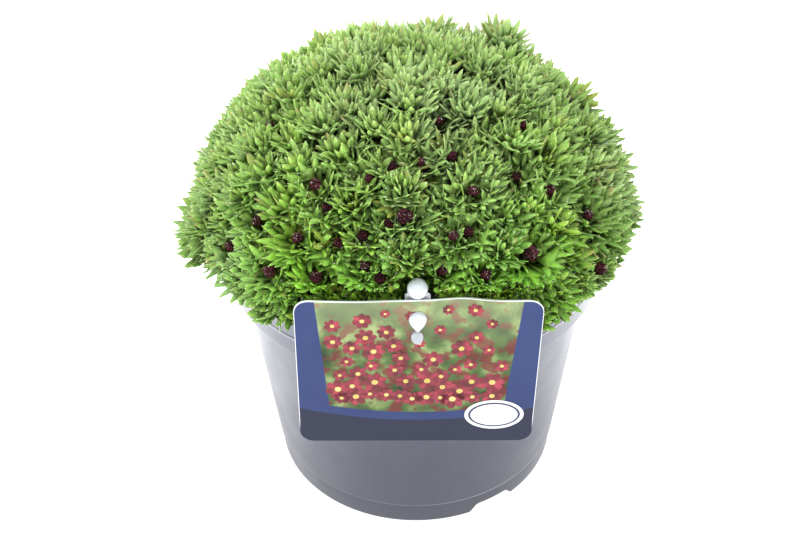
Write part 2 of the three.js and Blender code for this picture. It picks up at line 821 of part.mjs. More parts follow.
function makeBuds(rosette, size, random) {
  const ball = mergeVertices(bareOf(new THREE.OctahedronGeometry(size, 1)), 1e-4);
  const position = ball.attributes.position;
  const point = vector(0, 0, 0);
  for (let index = 0; index < position.count; index += 1) {
    point.fromBufferAttribute(position, index);
    const isPole = Math.max(...point.toArray().map(Math.abs)) > 0.99 * size;
    const scale = isPole ? BUD_POLE : 1 + BUD_KNOBS * random();
    position.setXYZ(index, point.x * scale, point.y * scale, point.z * scale * BUD_FLATNESS);
  }
  ball.rotateZ(random() * Math.PI);
  ball.applyQuaternion(new THREE.Quaternion().setFromUnitVectors(UP, rosette.axis));
  const seat = rosette.hub.clone().addScaledVector(rosette.axis, SEAT_GAP + size * BUD_FLATNESS);
  ball.translate(seat.x, seat.y, seat.z);
  return ball;
}

// Assembly

const plantInPot = new THREE.Group();
plantInPot.name = "potted_mossy_saxifrage";

function addNode(name, geometry, material) {
  const mesh = new THREE.Mesh(geometry, material);
  mesh.name = name;
  plantInPot.add(mesh);
}

function numbered(word, index) {
  return `${word}_${String(index + 1).padStart(2, "0")}`;
}

const random = makeRandom(RANDOM_SEED);
const rosettes = makeRosettes();
const groups = groupRosettes(rosettes);
const feet = groups.map(footOf);

addNode("pot", makePot(), plain(POT_GREY, 0.5));
addNode("soil", makeSoil(feet), plain(SOIL_BROWN, 0.95));
addNode("label_card", makeCard(), plain(CARD_BLUE, 0.35));
addNode("label_clip", makeClip(), plain(CLIP_WHITE, 0.3));
groups.forEach((group, index) => {
  const green = plain(LEAF_GREENS[index % LEAF_GREENS.length], 0.6);
  addNode(numbered("shoot", index), makeShoot(group, feet[index], random), green);
});
BUD_CLUSTERS.forEach(([, , size], index) => {
  addNode(numbered("buds", index), makeBuds(rosettes[index], size, random), plain(BUD_MAROON, 0.5));
});

export default plantInPot;
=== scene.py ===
from math import acos, cos, exp, hypot, pi, radians, sin, sqrt, tan, tau

import bmesh
import bpy
import numpy as np
from mathutils import Matrix, Quaternion, Vector
from numpy.linalg import norm


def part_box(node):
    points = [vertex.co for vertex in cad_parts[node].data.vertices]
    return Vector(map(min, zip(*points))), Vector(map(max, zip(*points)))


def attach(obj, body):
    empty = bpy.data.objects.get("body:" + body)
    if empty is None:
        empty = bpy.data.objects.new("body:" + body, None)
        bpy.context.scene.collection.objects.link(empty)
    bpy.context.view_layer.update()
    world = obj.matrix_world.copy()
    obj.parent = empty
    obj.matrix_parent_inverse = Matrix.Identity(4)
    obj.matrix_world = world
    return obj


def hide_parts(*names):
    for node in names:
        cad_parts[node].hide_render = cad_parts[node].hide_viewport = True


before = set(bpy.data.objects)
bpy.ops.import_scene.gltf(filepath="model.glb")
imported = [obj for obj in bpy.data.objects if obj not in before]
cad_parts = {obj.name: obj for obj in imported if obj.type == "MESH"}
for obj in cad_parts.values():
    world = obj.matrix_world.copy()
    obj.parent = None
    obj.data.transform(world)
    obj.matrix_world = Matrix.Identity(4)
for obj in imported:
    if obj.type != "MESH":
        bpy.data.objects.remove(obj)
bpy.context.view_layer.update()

# Lengths in this script are in millimetres, and become metres when a mesh is made

MM = 0.001
GOLDEN_ANGLE = pi * (3 - sqrt(5))
UP = np.array([0.0, 0.0, 1.0])

# Camera, as fitted to the photograph

CAMERA_PLACE = (0, -354.6, 352.8)
CAMERA_TARGET = (-5.21, 0, 75.99)
CAMERA_ROLL = -0.94
CAMERA_LENS = 57.09

# Pot

POT_HEIGHT = 96
FOOT_RADIUS = 51.5
WALL_TOP_RADIUS = 60.8
COLLAR_RADIUS = 65
COLLAR_BOTTOM = 82
BEAD_HEIGHT = 88
BEAD_PROUD = 0.25
FOOT_STEP_HEIGHT = 9
FOOT_STEP = 0.5
WALL = 1.4
INSIDE_RADIUS = COLLAR_RADIUS - WALL
BASE_THICKNESS = 1.8
POT_SEGMENTS = 192
NOTCH_TURNS = (32, 152, 272)
NOTCH_HALF = 9.6
SOIL_TOP = 86
SOIL_CRUMBS = 900
CRUMB_FIELD = 61.5

# Card and clip

CARD_SIZE = (74, 59)
CARD_CENTRE = (0.6, 86.8)
CARD_CORNER = 4.5
CARD_HALF = np.array(CARD_SIZE) / 2
CARD_INNER = CARD_HALF - CARD_CORNER
CARD_LEAN = 1.25
CARD_TILT = 0.018
CARD_YAW = 0.017
CARD_BACK = -67.05
CARD_THICKNESS = 0.6
CARD_GRID = (75, 59)
PRINT_LIFT = 0.04
OVAL = (24.5, -17.5)
BLOOMS = 68
BLOOM_TRIES = 900
PETALS = 7
CLIP_X = 0.8
CLIP_HALF = 3.8
CLIP_FRONT = -66.75
CLIP_INSIDE = -61.6
CLIP_TOP = 97.4
KNOB_PLACE = (CLIP_X, -66.2, 119.4)
KNOB_RADIUS = 3.1
BUTTON_HEIGHT = 108.9

# Leaf dome

DOME_CENTRE = 93
DOME_RADIUS = 80.7
DOME_RISE = 70.5
DOME_RADII = np.array([DOME_RADIUS, DOME_RADIUS, DOME_RISE])
DOME_MIDDLE = np.array([0, 0, DOME_CENTRE])
LOWEST_POLAR = 84
ROSETTES = 250
CANDIDATES = 4000
REACHES = (11.5, 20)
DEEPEST = 17

# Swellings and hollows of the cushion: polar angle and azimuth, gain, and spread in degrees

BULGES = (
    (35, 139, 5.0, 9), (31, 164, -7.0, 12), (32, -150, -1.5, 10), (46, 122, -6.0, 9),
    (50, -114, -1.5, 12), (66, 97, -3.0, 11), (90, 80, -3.5, 15), (88, 95, 2.0, 9),
    (98, -74, 0.5, 10), (82, -94, -1.8, 12),
)

# The fringe that hangs over the collar: its level, and its lifts as turn, width and gain

FRINGE_BOTTOM = 95
FRINGE_SLOPE = 0.55
FRINGE_START = 70
FRINGE_LIFTS = ((-0.78, 0.38, 8.5), (1.0, 0.3, 6.5))
FILLER_REACH = 12

# Buds, and the small ones with polar angle, azimuth and size

BUD_SHARE = 0.75
BUD_LIFT = 1.8
BUD_DEPTH = 9.5
BUD_IN_VIEW = 0.53
SIGHT_SHARE = 0.7
SMALL_BUDS = (
    (63, -9, 1.7), (48, -29, 1.6), (53, -15, 1.5), (56, -22, 1.5), (49, -8, 1.5),
    (32, 17, 1.5), (34, -9, 1.5), (38, -17, 1.5), (42, 39, 1.3), (52, 16, 1.5),
)

rng = np.random.default_rng(7)


def unit(vector):
    return vector / norm(vector)


# Meshes


def add_object(name, data):
    """A new object in the scene."""
    thing = bpy.data.objects.new(name, data)
    bpy.context.scene.collection.objects.link(thing)
    return thing


class Skin:
    """Points, triangles, looks and material numbers of one piece, gathered part by part."""

    def __init__(self):
        self.points, self.faces, self.materials = [], [], []
        self.looks, self.shades = [], []
        self.count = 0

    def add(self, points, faces, look=(0, 0, 0, 0), material=0, shade=1.0):
        self.points.append(np.array(points, float))
        self.faces.append(np.array(faces) + self.count)
        self.looks.append(np.broadcast_to(look, (len(points), 4)))
        self.shades.append(np.broadcast_to(shade, len(points)))
        self.materials.append(np.full(len(faces), material))
        self.count += len(points)

    def build(self, name, materials, smooth=True):
        points = (np.concatenate(self.points) * MM).astype(np.float32)
        faces = np.concatenate(self.faces)
        mesh = bpy.data.meshes.new(name)
        mesh.vertices.add(len(points))
        mesh.vertices.foreach_set("co", points.ravel())
        mesh.loops.add(faces.size)
        mesh.loops.foreach_set("vertex_index", faces.astype(np.int32).ravel())
        mesh.polygons.add(len(faces))
        mesh.polygons.foreach_set("loop_start", np.arange(0, faces.size, 3, dtype=np.int32))
        mesh.polygons.foreach_set("material_index", np.concatenate(self.materials).astype(np.int32))
        mesh.polygons.foreach_set("use_smooth", np.full(len(faces), smooth))
        mesh.update(calc_edges=True)
        mesh.validate()
        attribute = mesh.attributes.new("look", "FLOAT_COLOR", "POINT")
        attribute.data.foreach_set("color", np.concatenate(self.looks).astype(np.float32).ravel())
        attribute = mesh.attributes.new("shade", "FLOAT", "POINT")
        attribute.data.foreach_set("value", np.concatenate(self.shades).astype(np.float32))
        for material in materials:
            mesh.materials.append(material)
        return add_object(name, mesh)


def bands(count, sides):
    faces = []
    for level in range(count):
        for side in range(sides):
            a = level * sides + side
            b = level * sides + (side + 1) % sides
            faces += [(a, b, b + sides), (a, b + sides, a + sides)]
    return faces


def end_fan(first, sides, tip):
    return [(first + side, first + (side + 1) % sides, tip) for side in range(sides)]


def closed_rings(rings, sides):
    """Triangles over rings of points, closed by a flat start and by a fan to one last point."""
    last = (rings - 1) * sides
    cap = [(0, side + 1, side) for side in range(1, sides - 1)]
    return np.array(bands(rings - 1, sides) + cap + end_fan(last, sides, last + sides))


def icosphere(level):
    mesh = bpy.data.meshes.new("ball")
    shape = bmesh.new()
    bmesh.ops.create_icosphere(shape, subdivisions=level, radius=1)
    shape.to_mesh(mesh)
    shape.free()
    points = np.array([v.co for v in mesh.vertices])
    faces = np.array([p.vertices[:] for p in mesh.polygons])
    bpy.data.meshes.remove(mesh)
    return points, faces


# Leaf patterns: a wedge cut into pointed lobes, one unit long along x, with its upper face to +z

RING = np.array([(1, 0.06), (0, 0.1), (-1, 0.06), (0, -0.3)])
RING_EDGE = np.array([1, 0, 1, 0.3])
SIDES = len(RING)
PALM_END = 0.6
TIP_RISE = 0.004
TIP_EDGE = 0.6
LEAST_CURL = 1e-3


def make_lobe(spine, widths, flat=1.0):
    """A closed lobe along a spine of (x, y) points, drawn to a point at the spine's last one."""
    spine = np.array(spine, float)
    tangents = np.gradient(spine, axis=0)
    tangents /= norm(tangents, axis=1)[:, None]
    points, along, edge = [], [], []
    for place, tangent, width in zip(spine[:-1], tangents[:-1], widths):
        across = np.array([-tangent[1], tangent[0]])
        for (out, rise), rim in zip(RING, RING_EDGE):
            points.append((*(place + across * out * width), rise * width * flat))
            along.append(place[0])
            edge.append(rim)
    points.append((*spine[-1], TIP_RISE))
    along.append(1)
    edge.append(TIP_EDGE)
    return np.array(points), closed_rings(len(widths), SIDES), np.array(along), np.array(edge)


def bezier(a, b, c, shares):
    a, b, c = (np.array(p, float) for p in (a, b, c))
    return [(1 - t) ** 2 * a + 2 * t * (1 - t) * b + t * t * c for t in shares]


def make_leaf(side_lobes, lobe_width, wobble):
    """Joins a wedge-shaped palm, a middle lobe and pairs of side lobes into one leaf pattern."""
    spread = max([abs(angle) for angle, _ in side_lobes], default=6)
    palm = PALM_END * tan(radians(spread)) * 0.58 + lobe_width * 0.4
    wedge = [(0, 0), (0.25, 0), (0.45, 0), (PALM_END, 0), (PALM_END + 0.1, 0)]
    parts = [make_lobe(wedge, [lobe_width * 0.75, lobe_width * 0.9, palm * 0.68, palm], 0.6)]
    middle = [(t, wobble * sin(pi * t)) for t in (0.5, 0.7, 0.87, 1)]
    parts.append(make_lobe(middle, [w * lobe_width for w in (0.95, 1.15, 0.7)]))
    for angle, length in side_lobes:
        turn = radians(angle)
        tip = (length * cos(turn), length * sin(turn))
        base = (PALM_END - 0.13, tan(turn) * PALM_END * 0.6)
        way = (PALM_END + 0.1, tip[1] * 0.92)
        spine = bezier(base, way, tip, (0, 0.42, 0.76, 1))
        parts.append(make_lobe(spine, [w * lobe_width for w in (0.9, 1.12, 0.72)]))
    points, faces, along, edge = zip(*parts)
    firsts = np.cumsum([0] + [len(part) for part in points[:-1]])
    faces = [part + first for part, first in zip(faces, firsts)]
    return tuple(np.concatenate(group) for group in (points, faces, along, edge))


LEAVES_WIDE = [
    make_leaf([(19, 0.95), (-18, 0.92), (38, 0.84), (-37, 0.82)], 0.06, 0.01),
    make_leaf([(18, 0.92), (-20, 0.95), (36, 0.85), (-39, 0.8)], 0.064, -0.02),
    make_leaf([(20, 0.93), (-19, 0.95), (-38, 0.84)], 0.066, 0.02),
]
LEAVES_THREE = [
    make_leaf([(24, 0.92), (-25, 0.89)], 0.078, 0.015),
    make_leaf([(26, 0.88), (-22, 0.93)], 0.08, -0.025),
    make_leaf([(21, 0.94), (-22, 0.9)], 0.076, 0.025),
]
LEAVES_YOUNG = [
    make_leaf([(19, 0.88), (-17, 0.9)], 0.088, 0.01),
    make_leaf([], 0.1, 0.03),
]


def place_leaf(pattern, root, axis, outward, lift, length, curl, roll):
    points = pattern[0]
    along = outward * cos(lift) + axis * sin(lift)
    side = np.cross(axis, outward)
    face = np.cross(along, side)
    side, face = side * cos(roll) + face * sin(roll), face * cos(roll) - side * sin(roll)
    bend = curl * points[:, 0]
    safe = curl if abs(curl) > LEAST_CURL else LEAST_CURL
    forth = np.sin(safe * points[:, 0]) / safe - np.sin(bend) * points[:, 2]
    rise = (1 - np.cos(safe * points[:, 0])) / safe + np.cos(bend) * points[:, 2]
    return (
        root
        + np.outer(forth * length, along)
        + np.outer(points[:, 1] * length, side)
        + np.outer(rise * length, face)
    )


# Where leaves may not be: in the pot's wall, in the soil, and in or in front of the card and its clip

CARD_FACE = 65.2
CARD_ROOM = 0.6
SIGHT_SLOPE = 0.85
KNOB_ROOM = (4.5, 62.2, 122.5)


def hides_bud(points):
    """Whether a leaf stands between a bud and the photographer."""
    middles, ways, radii = bud_views
    steps = points[:, None] - middles
    forth = np.einsum("pbk,bk->pb", steps, ways)
    gaps = norm(steps - forth[..., None] * ways, axis=2)
    return np.any((forth > 0) & (gaps < radii))


def fringe_level(x, y, across):
    """The height that the fringe's leaves keep above, which varies round the pot."""
    turn = np.arctan2(x, -y)
    slope = FRINGE_SLOPE * (1 + 0.8 * np.sin(turn))
    lift = sum(gain * np.exp(-((turn - at) / width) ** 2) for at, width, gain in FRINGE_LIFTS)
    wave = 1.2 * np.sin(5 * turn + 1)
    return FRINGE_BOTTOM + slope * (across - FRINGE_START) + wave + np.sin(11 * turn) + lift


def is_blocked(points):
    x, y, z = points.T
    across = np.hypot(x, y)
    in_wall = (across > INSIDE_RADIUS - 0.6) & (across < COLLAR_RADIUS + 1.0) & (z < POT_HEIGHT + 0.6)
    in_soil = (across <= INSIDE_RADIUS) & (z < SOIL_TOP + 0.5)
    low = z < fringe_level(x, y, across)
    by_card = np.abs(x - CARD_CENTRE[0]) < CARD_HALF[0] + 1
    top = CARD_CENTRE[1] + CARD_HALF[1]
    ahead = np.maximum(0, -y - CARD_FACE)
    at_card = by_card & (y < -CARD_FACE) & (z < top + CARD_ROOM + SIGHT_SLOPE * ahead)
    half, face, top = KNOB_ROOM
    ahead = np.maximum(0, -y - 66)
    at_knob = (np.abs(x - CLIP_X) < half) & (y < -face) & (z < top + SIGHT_SLOPE * ahead)
    return np.any(in_wall | in_soil | low | at_card | at_knob) or hides_bud(points)


# Rosette places

HUB_BOTTOM = 99.5
HUB_RIM_LEVEL = 104
HUB_RIM_RADIUS = 69.5
HUB_CARD_LEVEL = 114
HUB_CARD_FACE = -60.5


def dome_point(polar, azimuth):
    return np.array([
        DOME_RADIUS * sin(polar) * sin(azimuth),
        -DOME_RADIUS * sin(polar) * cos(azimuth),
        DOME_CENTRE + DOME_RISE * cos(polar),
    ])


def dome_normal(point):
    return unit((point - DOME_MIDDLE) / DOME_RADII ** 2)


def surface_below(point):
    """The dome's surface point over a point that lies a little inside."""
    return unit((point - DOME_MIDDLE) / DOME_RADII) * DOME_RADII + DOME_MIDDLE


def bulge(point):
    total = 0
    for polar, azimuth, gain, spread in BULGES:
        other = dome_point(radians(polar), radians(azimuth))
        gap = norm(point - other) / (DOME_RADIUS * radians(spread))
        total += gain * exp(-0.5 * gap * gap)
    return total


def openness(points):
    """How open to the light the points are, from 0 deep in the cushion to 1 at its surface."""
    level = norm((points - DOME_MIDDLE) / DOME_RADII, axis=1)
    return np.clip(1 - (1 - level) * DOME_RADIUS / DEEPEST, 0, 1)


def candidate_places():
    lowest = cos(radians(LOWEST_POLAR))
    places = []
    for index in range(CANDIDATES):
        polar = acos(1 - (1 - lowest) * (index + 0.5) / CANDIDATES)
        places.append(dome_point(polar, index * GOLDEN_ANGLE))
    return np.array(places)


def choose_places(fixed):
    """Fills the dome's widest gaps between the fixed places, then evens the new ones out."""
    candidates = candidate_places()
    chosen = [np.array(place) for place in fixed]
    room = np.min([norm(candidates - place, axis=1) for place in chosen], axis=0)
    while len(chosen) < ROSETTES:
        best = np.argmax(room)
        chosen.append(candidates[best])
        room = np.minimum(room, norm(candidates - candidates[best], axis=1))
    chosen = np.array(chosen)
    for _ in range(3):
        nearest = np.argmin(norm(candidates[:, None] - chosen[None], axis=2), axis=1)
        for index in range(len(fixed), ROSETTES):
            share = candidates[nearest == index]
            if len(share):
                chosen[index] = surface_below(share.mean(axis=0))
    return chosen


class Rosette:
    """Where a rosette sits, which way it looks and how large it is."""

    size = 0
    node = bud_middle = None
    filler = False

    def __init__(self, tip, reach, bud):
        normal = dome_normal(tip)
        sway = rng.normal(0, 0.1, 3)
        self.axis = unit(normal + (0.35 + 0.55 * max(0, normal[2])) * UP + sway)
        self.reach = reach
        self.bud = bud
        depth = BUD_DEPTH if bud else 0.76 * reach + rng.normal(0, 1.3)
        hub = self.hub = tip - normal * (depth - bulge(tip))
        # The hub stays above the rim, near the collar, and behind the card and its clip
        hub[2] = max(hub[2], HUB_BOTTOM)
        across = hypot(hub[0], hub[1])
        if hub[2] < HUB_RIM_LEVEL and across > HUB_RIM_RADIUS:
            hub[:2] *= HUB_RIM_RADIUS / across
        if hub[1] < 0 and abs(hub[0]) < CARD_HALF[0] + 3 and hub[2] < HUB_CARD_LEVEL:
            hub[1] = max(hub[1], HUB_CARD_FACE)


def bud_places():
    """The middle of each bud node and its size, from the frame."""
    places = []
    for name in sorted(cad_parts):
        if name.startswith("buds_"):
            low, high = (np.array(corner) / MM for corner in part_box(name))
            places.append((name, (low + high) / 2, np.mean(high - low) / 2))
    return places


def make_rosettes():
    buds = bud_places()
    tips = [surface_below(middle) for _, middle, _ in buds]
    sizes = [size for _, _, size in buds]
    for polar, azimuth, size in SMALL_BUDS:
        tips.append(dome_point(radians(polar), radians(azimuth)))
        sizes.append(size)
    places = choose_places(tips)
    distance = norm(places[:, None] - places[None], axis=2)
    np.fill_diagonal(distance, 1e9)
    near = np.sort(distance, axis=1)[:, :4].mean(axis=1)
    rosettes = []
    for index, place in enumerate(places):
        is_bud = index < len(sizes)
        reach = 1.02 * near[index] + (1.6 * (sizes[index] - 2) if is_bud else rng.normal(0, 0.8))
        rosette = Rosette(place, np.clip(reach, *REACHES), is_bud)
        if is_bud:
            rosette.size = sizes[index]
            rosette.bud_middle = rosette.hub + rosette.axis * (rosette.size + 0.5)
        if index < len(buds):
            rosette.node = buds[index][0]
            rosette.bud_middle = buds[index][1] + dome_normal(place) * BUD_LIFT
            rosette.hub = rosette.bud_middle - rosette.axis * (buds[index][2] + 1.5)
            rosette.size *= BUD_SHARE
        rosettes.append(rosette)
    for across in np.arange(-40, 41, 7):
        filler = Rosette([across, -66, 118], FILLER_REACH, False)
        aside = across + rng.uniform(-1.5, 1.5)
        filler.hub = np.array([aside, -63.6 + 0.006 * across ** 2, rng.uniform(108, 112)])
        filler.axis = unit([0, -0.5, 1] + rng.normal(0, 0.08, 3))
        filler.filler = True
        rosettes.append(filler)
    return rosettes


def bud_sight_lines(rosettes):
    """The middle of each bud on the near side, the way to the camera and the radius kept open."""
    lines = []
    for rosette in rosettes:
        if rosette.bud:
            way = unit(np.array(CAMERA_PLACE) - rosette.bud_middle)
            if dome_normal(rosette.bud_middle) @ way > BUD_IN_VIEW:
                lines.append((rosette.bud_middle, way, SIGHT_SHARE * rosette.size))
    middles, ways, radii = zip(*lines)
    return np.array(middles), np.array(ways), np.array(radii)


# Foliage

CORE_BALL = icosphere(1)
SPECK_RADII = (0.14, 0.2, 0.28)
SPECK_SHARES = (0.5, 0.4, 0.1)
LEAF_TRIES = 9
BUD_LEAVES = 6
BUD_DROPS = 10
STEM_SIDES = 5
STEM_RINGS = 6
STEM_RADII = (1.7, 0.95)
SPECK = (
    np.array([(1, 0, 0), (0, 1, 0), (-1, 0, 0), (0, -1, 0), (0, 0, 1), (0, 0, -1)], float),
    np.array([(0, 1, 4), (1, 2, 4), (2, 3, 4), (3, 0, 4), (1, 0, 5), (2, 1, 5), (3, 2, 5), (0, 3, 5)]),
)


def add_leaf(skin, rosette, pattern, turn, lift, length, drop, tone, curl):
    other = UP if abs(rosette.axis[2]) < 0.95 else [1.0, 0, 0]
    first = unit(np.cross(other, rosette.axis))
    second = np.cross(rosette.axis, first)
    outward = first * cos(turn) + second * sin(turn)
    root = rosette.hub + outward * 0.7 - rosette.axis * drop
    roll = rng.normal(0, 0.14)
    chance = rng.random()
    for _ in range(LEAF_TRIES):
        points = place_leaf(pattern, root, rosette.axis, outward, lift, length, curl, roll)
        if not is_blocked(points):
            break
        lift += 0.13
        length *= 0.94
    else:
        return None
    flat = np.ones(len(points))
    look = np.stack([tone * flat, pattern[2], pattern[3], chance * flat], axis=1)
    shade = np.clip((points[:, 2] - 99) / 9, 0, 1) if rosette.filler else openness(points)
    stand = (points - rosette.hub) @ rosette.axis / rosette.reach
    shade = shade * np.clip(0.58 + 0.95 * stand, 0.58, 1)
    shade = shade * np.clip(0.75 + (points[:, 2] - 100) / 60, 0.75, 1)
    skin.add(points, pattern[1], look, 0, shade)
    return points


def add_core(skin, rosette):
    """Old growth under a rosette, coloured near black as painted shade deep in the cushion, which
    closes the cushion against the light from behind.
    """
    inward = unit(rosette.hub - [0, 0, 70])
    shape = CORE_BALL[0] * (0.6 * rosette.reach)
    shape = shape - np.outer(shape @ inward, inward) * 0.55
    points = rosette.hub - inward * 8.5 + shape
    points[:, 2] = np.maximum(points[:, 2], POT_HEIGHT + 0.8)
    skin.add(points, CORE_BALL[1], (0.5, 0.5, 0.5, rng.random()), 3)


def add_specks(skin, pattern, points, count):
    """Tiny drops and glands that stand on a leaf's upper face, coloured near white as painted glints.
    """
    uppers = np.flatnonzero((pattern[3] < 0.5) & (pattern[0][:, 2] > 0) & (pattern[2] > 0.45))
    for vertex in rng.choice(uppers, count):
        other = vertex + SIDES if vertex + SIDES < len(points) else vertex
        centre = points[vertex] + (points[other] - points[vertex]) * rng.random()
        radius = rng.choice(SPECK_RADII, p=SPECK_SHARES)
        skin.add(centre + SPECK[0] * radius, SPECK[1], (1, 1, 1, rng.random()), 1)


def grow_rosette(skin, rosette):
    reach = rosette.reach
    count = round(11 + 0.8 * reach)
    phase = rng.random() * tau
    x, y, z = rosette.hub
    drift = 0.14 * sin(x / 17 + 1) + 0.14 * sin(y / 14 + z / 21)
    # Fillers take a lighter, yellower tone: painted light for leaves that sit in shadow behind the
    # card
    mood = np.clip(drift + rng.normal(0, 0.15), -0.35, 0.35) - (0.1 if rosette.filler else 0)
    height = (z - 100) / 50
    spread = 58 if rosette.bud else 50 - 14 * min(1, height)
    for index in range(count):
        share = (index + 0.5) / count
        if rosette.bud:
            share = 0.42 + 0.58 * share
        lift = radians(84 - spread * share ** 0.9 + rng.normal(0, 7))
        length = reach * (0.74 + 0.36 * share) * rng.uniform(0.84, 1.2)
        turn = phase + index * GOLDEN_ANGLE
        tone = np.clip(0.1 + 0.75 * share + 0.15 * height + mood + rng.normal(0, 0.07), 0, 1)
        curl = rng.normal(0.2 - 0.4 * share, 0.15)
        if share < 0.3:
            pattern = LEAVES_YOUNG[index % 2]
        elif share < 0.58:
            pattern = LEAVES_THREE[index % 3]
        else:
            pattern = (LEAVES_WIDE + LEAVES_THREE)[rng.integers(3 if z < 122 else 6)]
        points = add_leaf(skin, rosette, pattern, turn, lift, length, 3.4 * share, tone, curl)
        if points is not None:
            add_specks(skin, pattern, points, rng.integers(2, 6))
    if rosette.bud:
        for index in range(BUD_LEAVES):
            turn = phase + index * tau / BUD_LEAVES + rng.normal(0, 0.2)
            lift = radians(rng.uniform(48, 62))
            length = rosette.size * rng.uniform(1.3, 1.9) + 1.5
            add_leaf(skin, rosette, LEAVES_YOUNG[1], turn, lift, length, 0.2, 0.02, 0.35)


def grow_stem(skin, rosette, foot):
    """A closed round tube that bends up from the soil to the rosette's hub."""
    hub = rosette.hub - rosette.axis * 1.0
    way = foot + (hub - foot) * 0.5
    way[2] = max(way[2], min(hub[2], 102))
    places = bezier(foot, way, hub, np.linspace(0, 1, STEM_RINGS))
    radii = np.linspace(*STEM_RADII, STEM_RINGS)
    tangents = np.gradient(places, axis=0)
    points = []
    for place, tangent, radius in zip(places, tangents, radii):
        tangent = unit(tangent)
        first = unit(np.cross(tangent, [1.0, 0.2, 0.1]))
        second = np.cross(tangent, first)
        for side in range(STEM_SIDES):
            turn = tau * side / STEM_SIDES
            points.append(place + radius * (first * cos(turn) + second * sin(turn)))
    points.append(places[-1] + unit(tangents[-1]) * radii[-1] * 0.5)
    skin.add(points, closed_rings(STEM_RINGS, STEM_SIDES), (0.5, 0.5, 0.5, rng.random()), 2)


def node_points(name):
    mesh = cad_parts[name].data
    flat = np.empty(len(mesh.vertices) * 3)
    mesh.vertices.foreach_get("co", flat)
    return flat.reshape(-1, 3) / MM


# Materials


class Paint:
    """A new material. Each method adds nodes and gives back an output of the last one."""

    def __init__(self, name):
        self.material = bpy.data.materials.new(name)
        self.material.use_nodes = True
        self.tree = self.material.node_tree
        self.place = self.node("ShaderNodeTexCoord").outputs["Object"]

    def feed(self, node, inputs):
        """Sets a node's inputs to numbers or colours, or links other nodes' outputs to them."""
        for key, value in inputs.items():
            socket = node.inputs[key]
            if isinstance(value, bpy.types.NodeSocket):
                self.tree.links.new(value, socket)
            elif isinstance(value, tuple):
                socket.default_value = (*value, 1)[:len(socket.default_value)]
            else:
                socket.default_value = value

    def node(self, kind, inputs=None, **settings):
        node = self.tree.nodes.new(kind)
        for key, value in settings.items():
            setattr(node, key, value)
        self.feed(node, inputs or {})
        return node

    def math(self, operation, a, b=0.0):
        return self.node("ShaderNodeMath", {0: a, 1: b}, operation=operation).outputs[0]

    def times(self, a, b):
        return self.math("MULTIPLY", a, b)

    def away(self, a, b=0.0):
        """How far a is from b."""
        return self.math("ABSOLUTE", self.math("SUBTRACT", a, b))

    def ramp(self, source, *stops):
        node = self.node("ShaderNodeValToRGB", {0: source})
        elements = node.color_ramp.elements
        while len(elements) < len(stops):
            elements.new(0.5)
        for element, (position, color) in zip(elements, stops):
            element.position = position
            element.color = (*color, 1)
        return node.outputs[0]

    def grey(self, source, start, end, low=0.0, high=1.0):
        return self.ramp(source, (start, (low,) * 3), (end, (high,) * 3))

    def mix(self, share, a, b, kind="MIX"):
        inputs = {0: share, 6: a, 7: b}
        return self.node("ShaderNodeMix", inputs, data_type="RGBA", blend_type=kind).outputs[2]

    def multiply(self, color, factor):
        return self.mix(1.0, color, factor, "MULTIPLY")

    def noise(self, scale, detail=3.0, roughness=0.5):
        inputs = {"Vector": self.place, "Scale": scale, "Detail": detail, "Roughness": roughness}
        return self.node("ShaderNodeTexNoise", inputs).outputs["Fac"]

    def cloud(self, scale, detail, start, end, low=0.0, high=1.0):
        return self.grey(self.noise(scale, detail), start, end, low, high)

    def axes(self):
        return self.node("ShaderNodeSeparateXYZ", {0: self.place}).outputs

    def split(self, color):
        return self.node("ShaderNodeSeparateColor", {0: color}).outputs

    def attribute(self, name):
        return self.node("ShaderNodeAttribute", attribute_name=name).outputs

    def look(self):
        """The look's tone, along, edge and chance."""
        outputs = self.attribute("look")
        return (*self.split(outputs["Color"]), outputs["Alpha"])

    def finish(self, inputs, bump=None):
        """Feeds the shader, with a bump from a noise's scale and detail, a strength and a depth."""
        if bump:
            scale, detail, strength, depth = bump
            height = self.noise(scale, detail)
            bumps = {"Height": height, "Strength": strength, "Distance": depth}
            inputs["Normal"] = self.node("ShaderNodeBump", bumps).outputs[0]
        self.feed(self.tree.nodes["Principled BSDF"], inputs)
        return self.material


def plain_material(name, grain, colors, inputs, bump=None, stops=(0.3, 0.7)):
    """A material whose colour follows one noise."""
    paint = Paint(name)
    inputs["Base Color"] = paint.ramp(paint.noise(*grain), *zip(stops, colors))
    return paint.finish(inputs, bump)


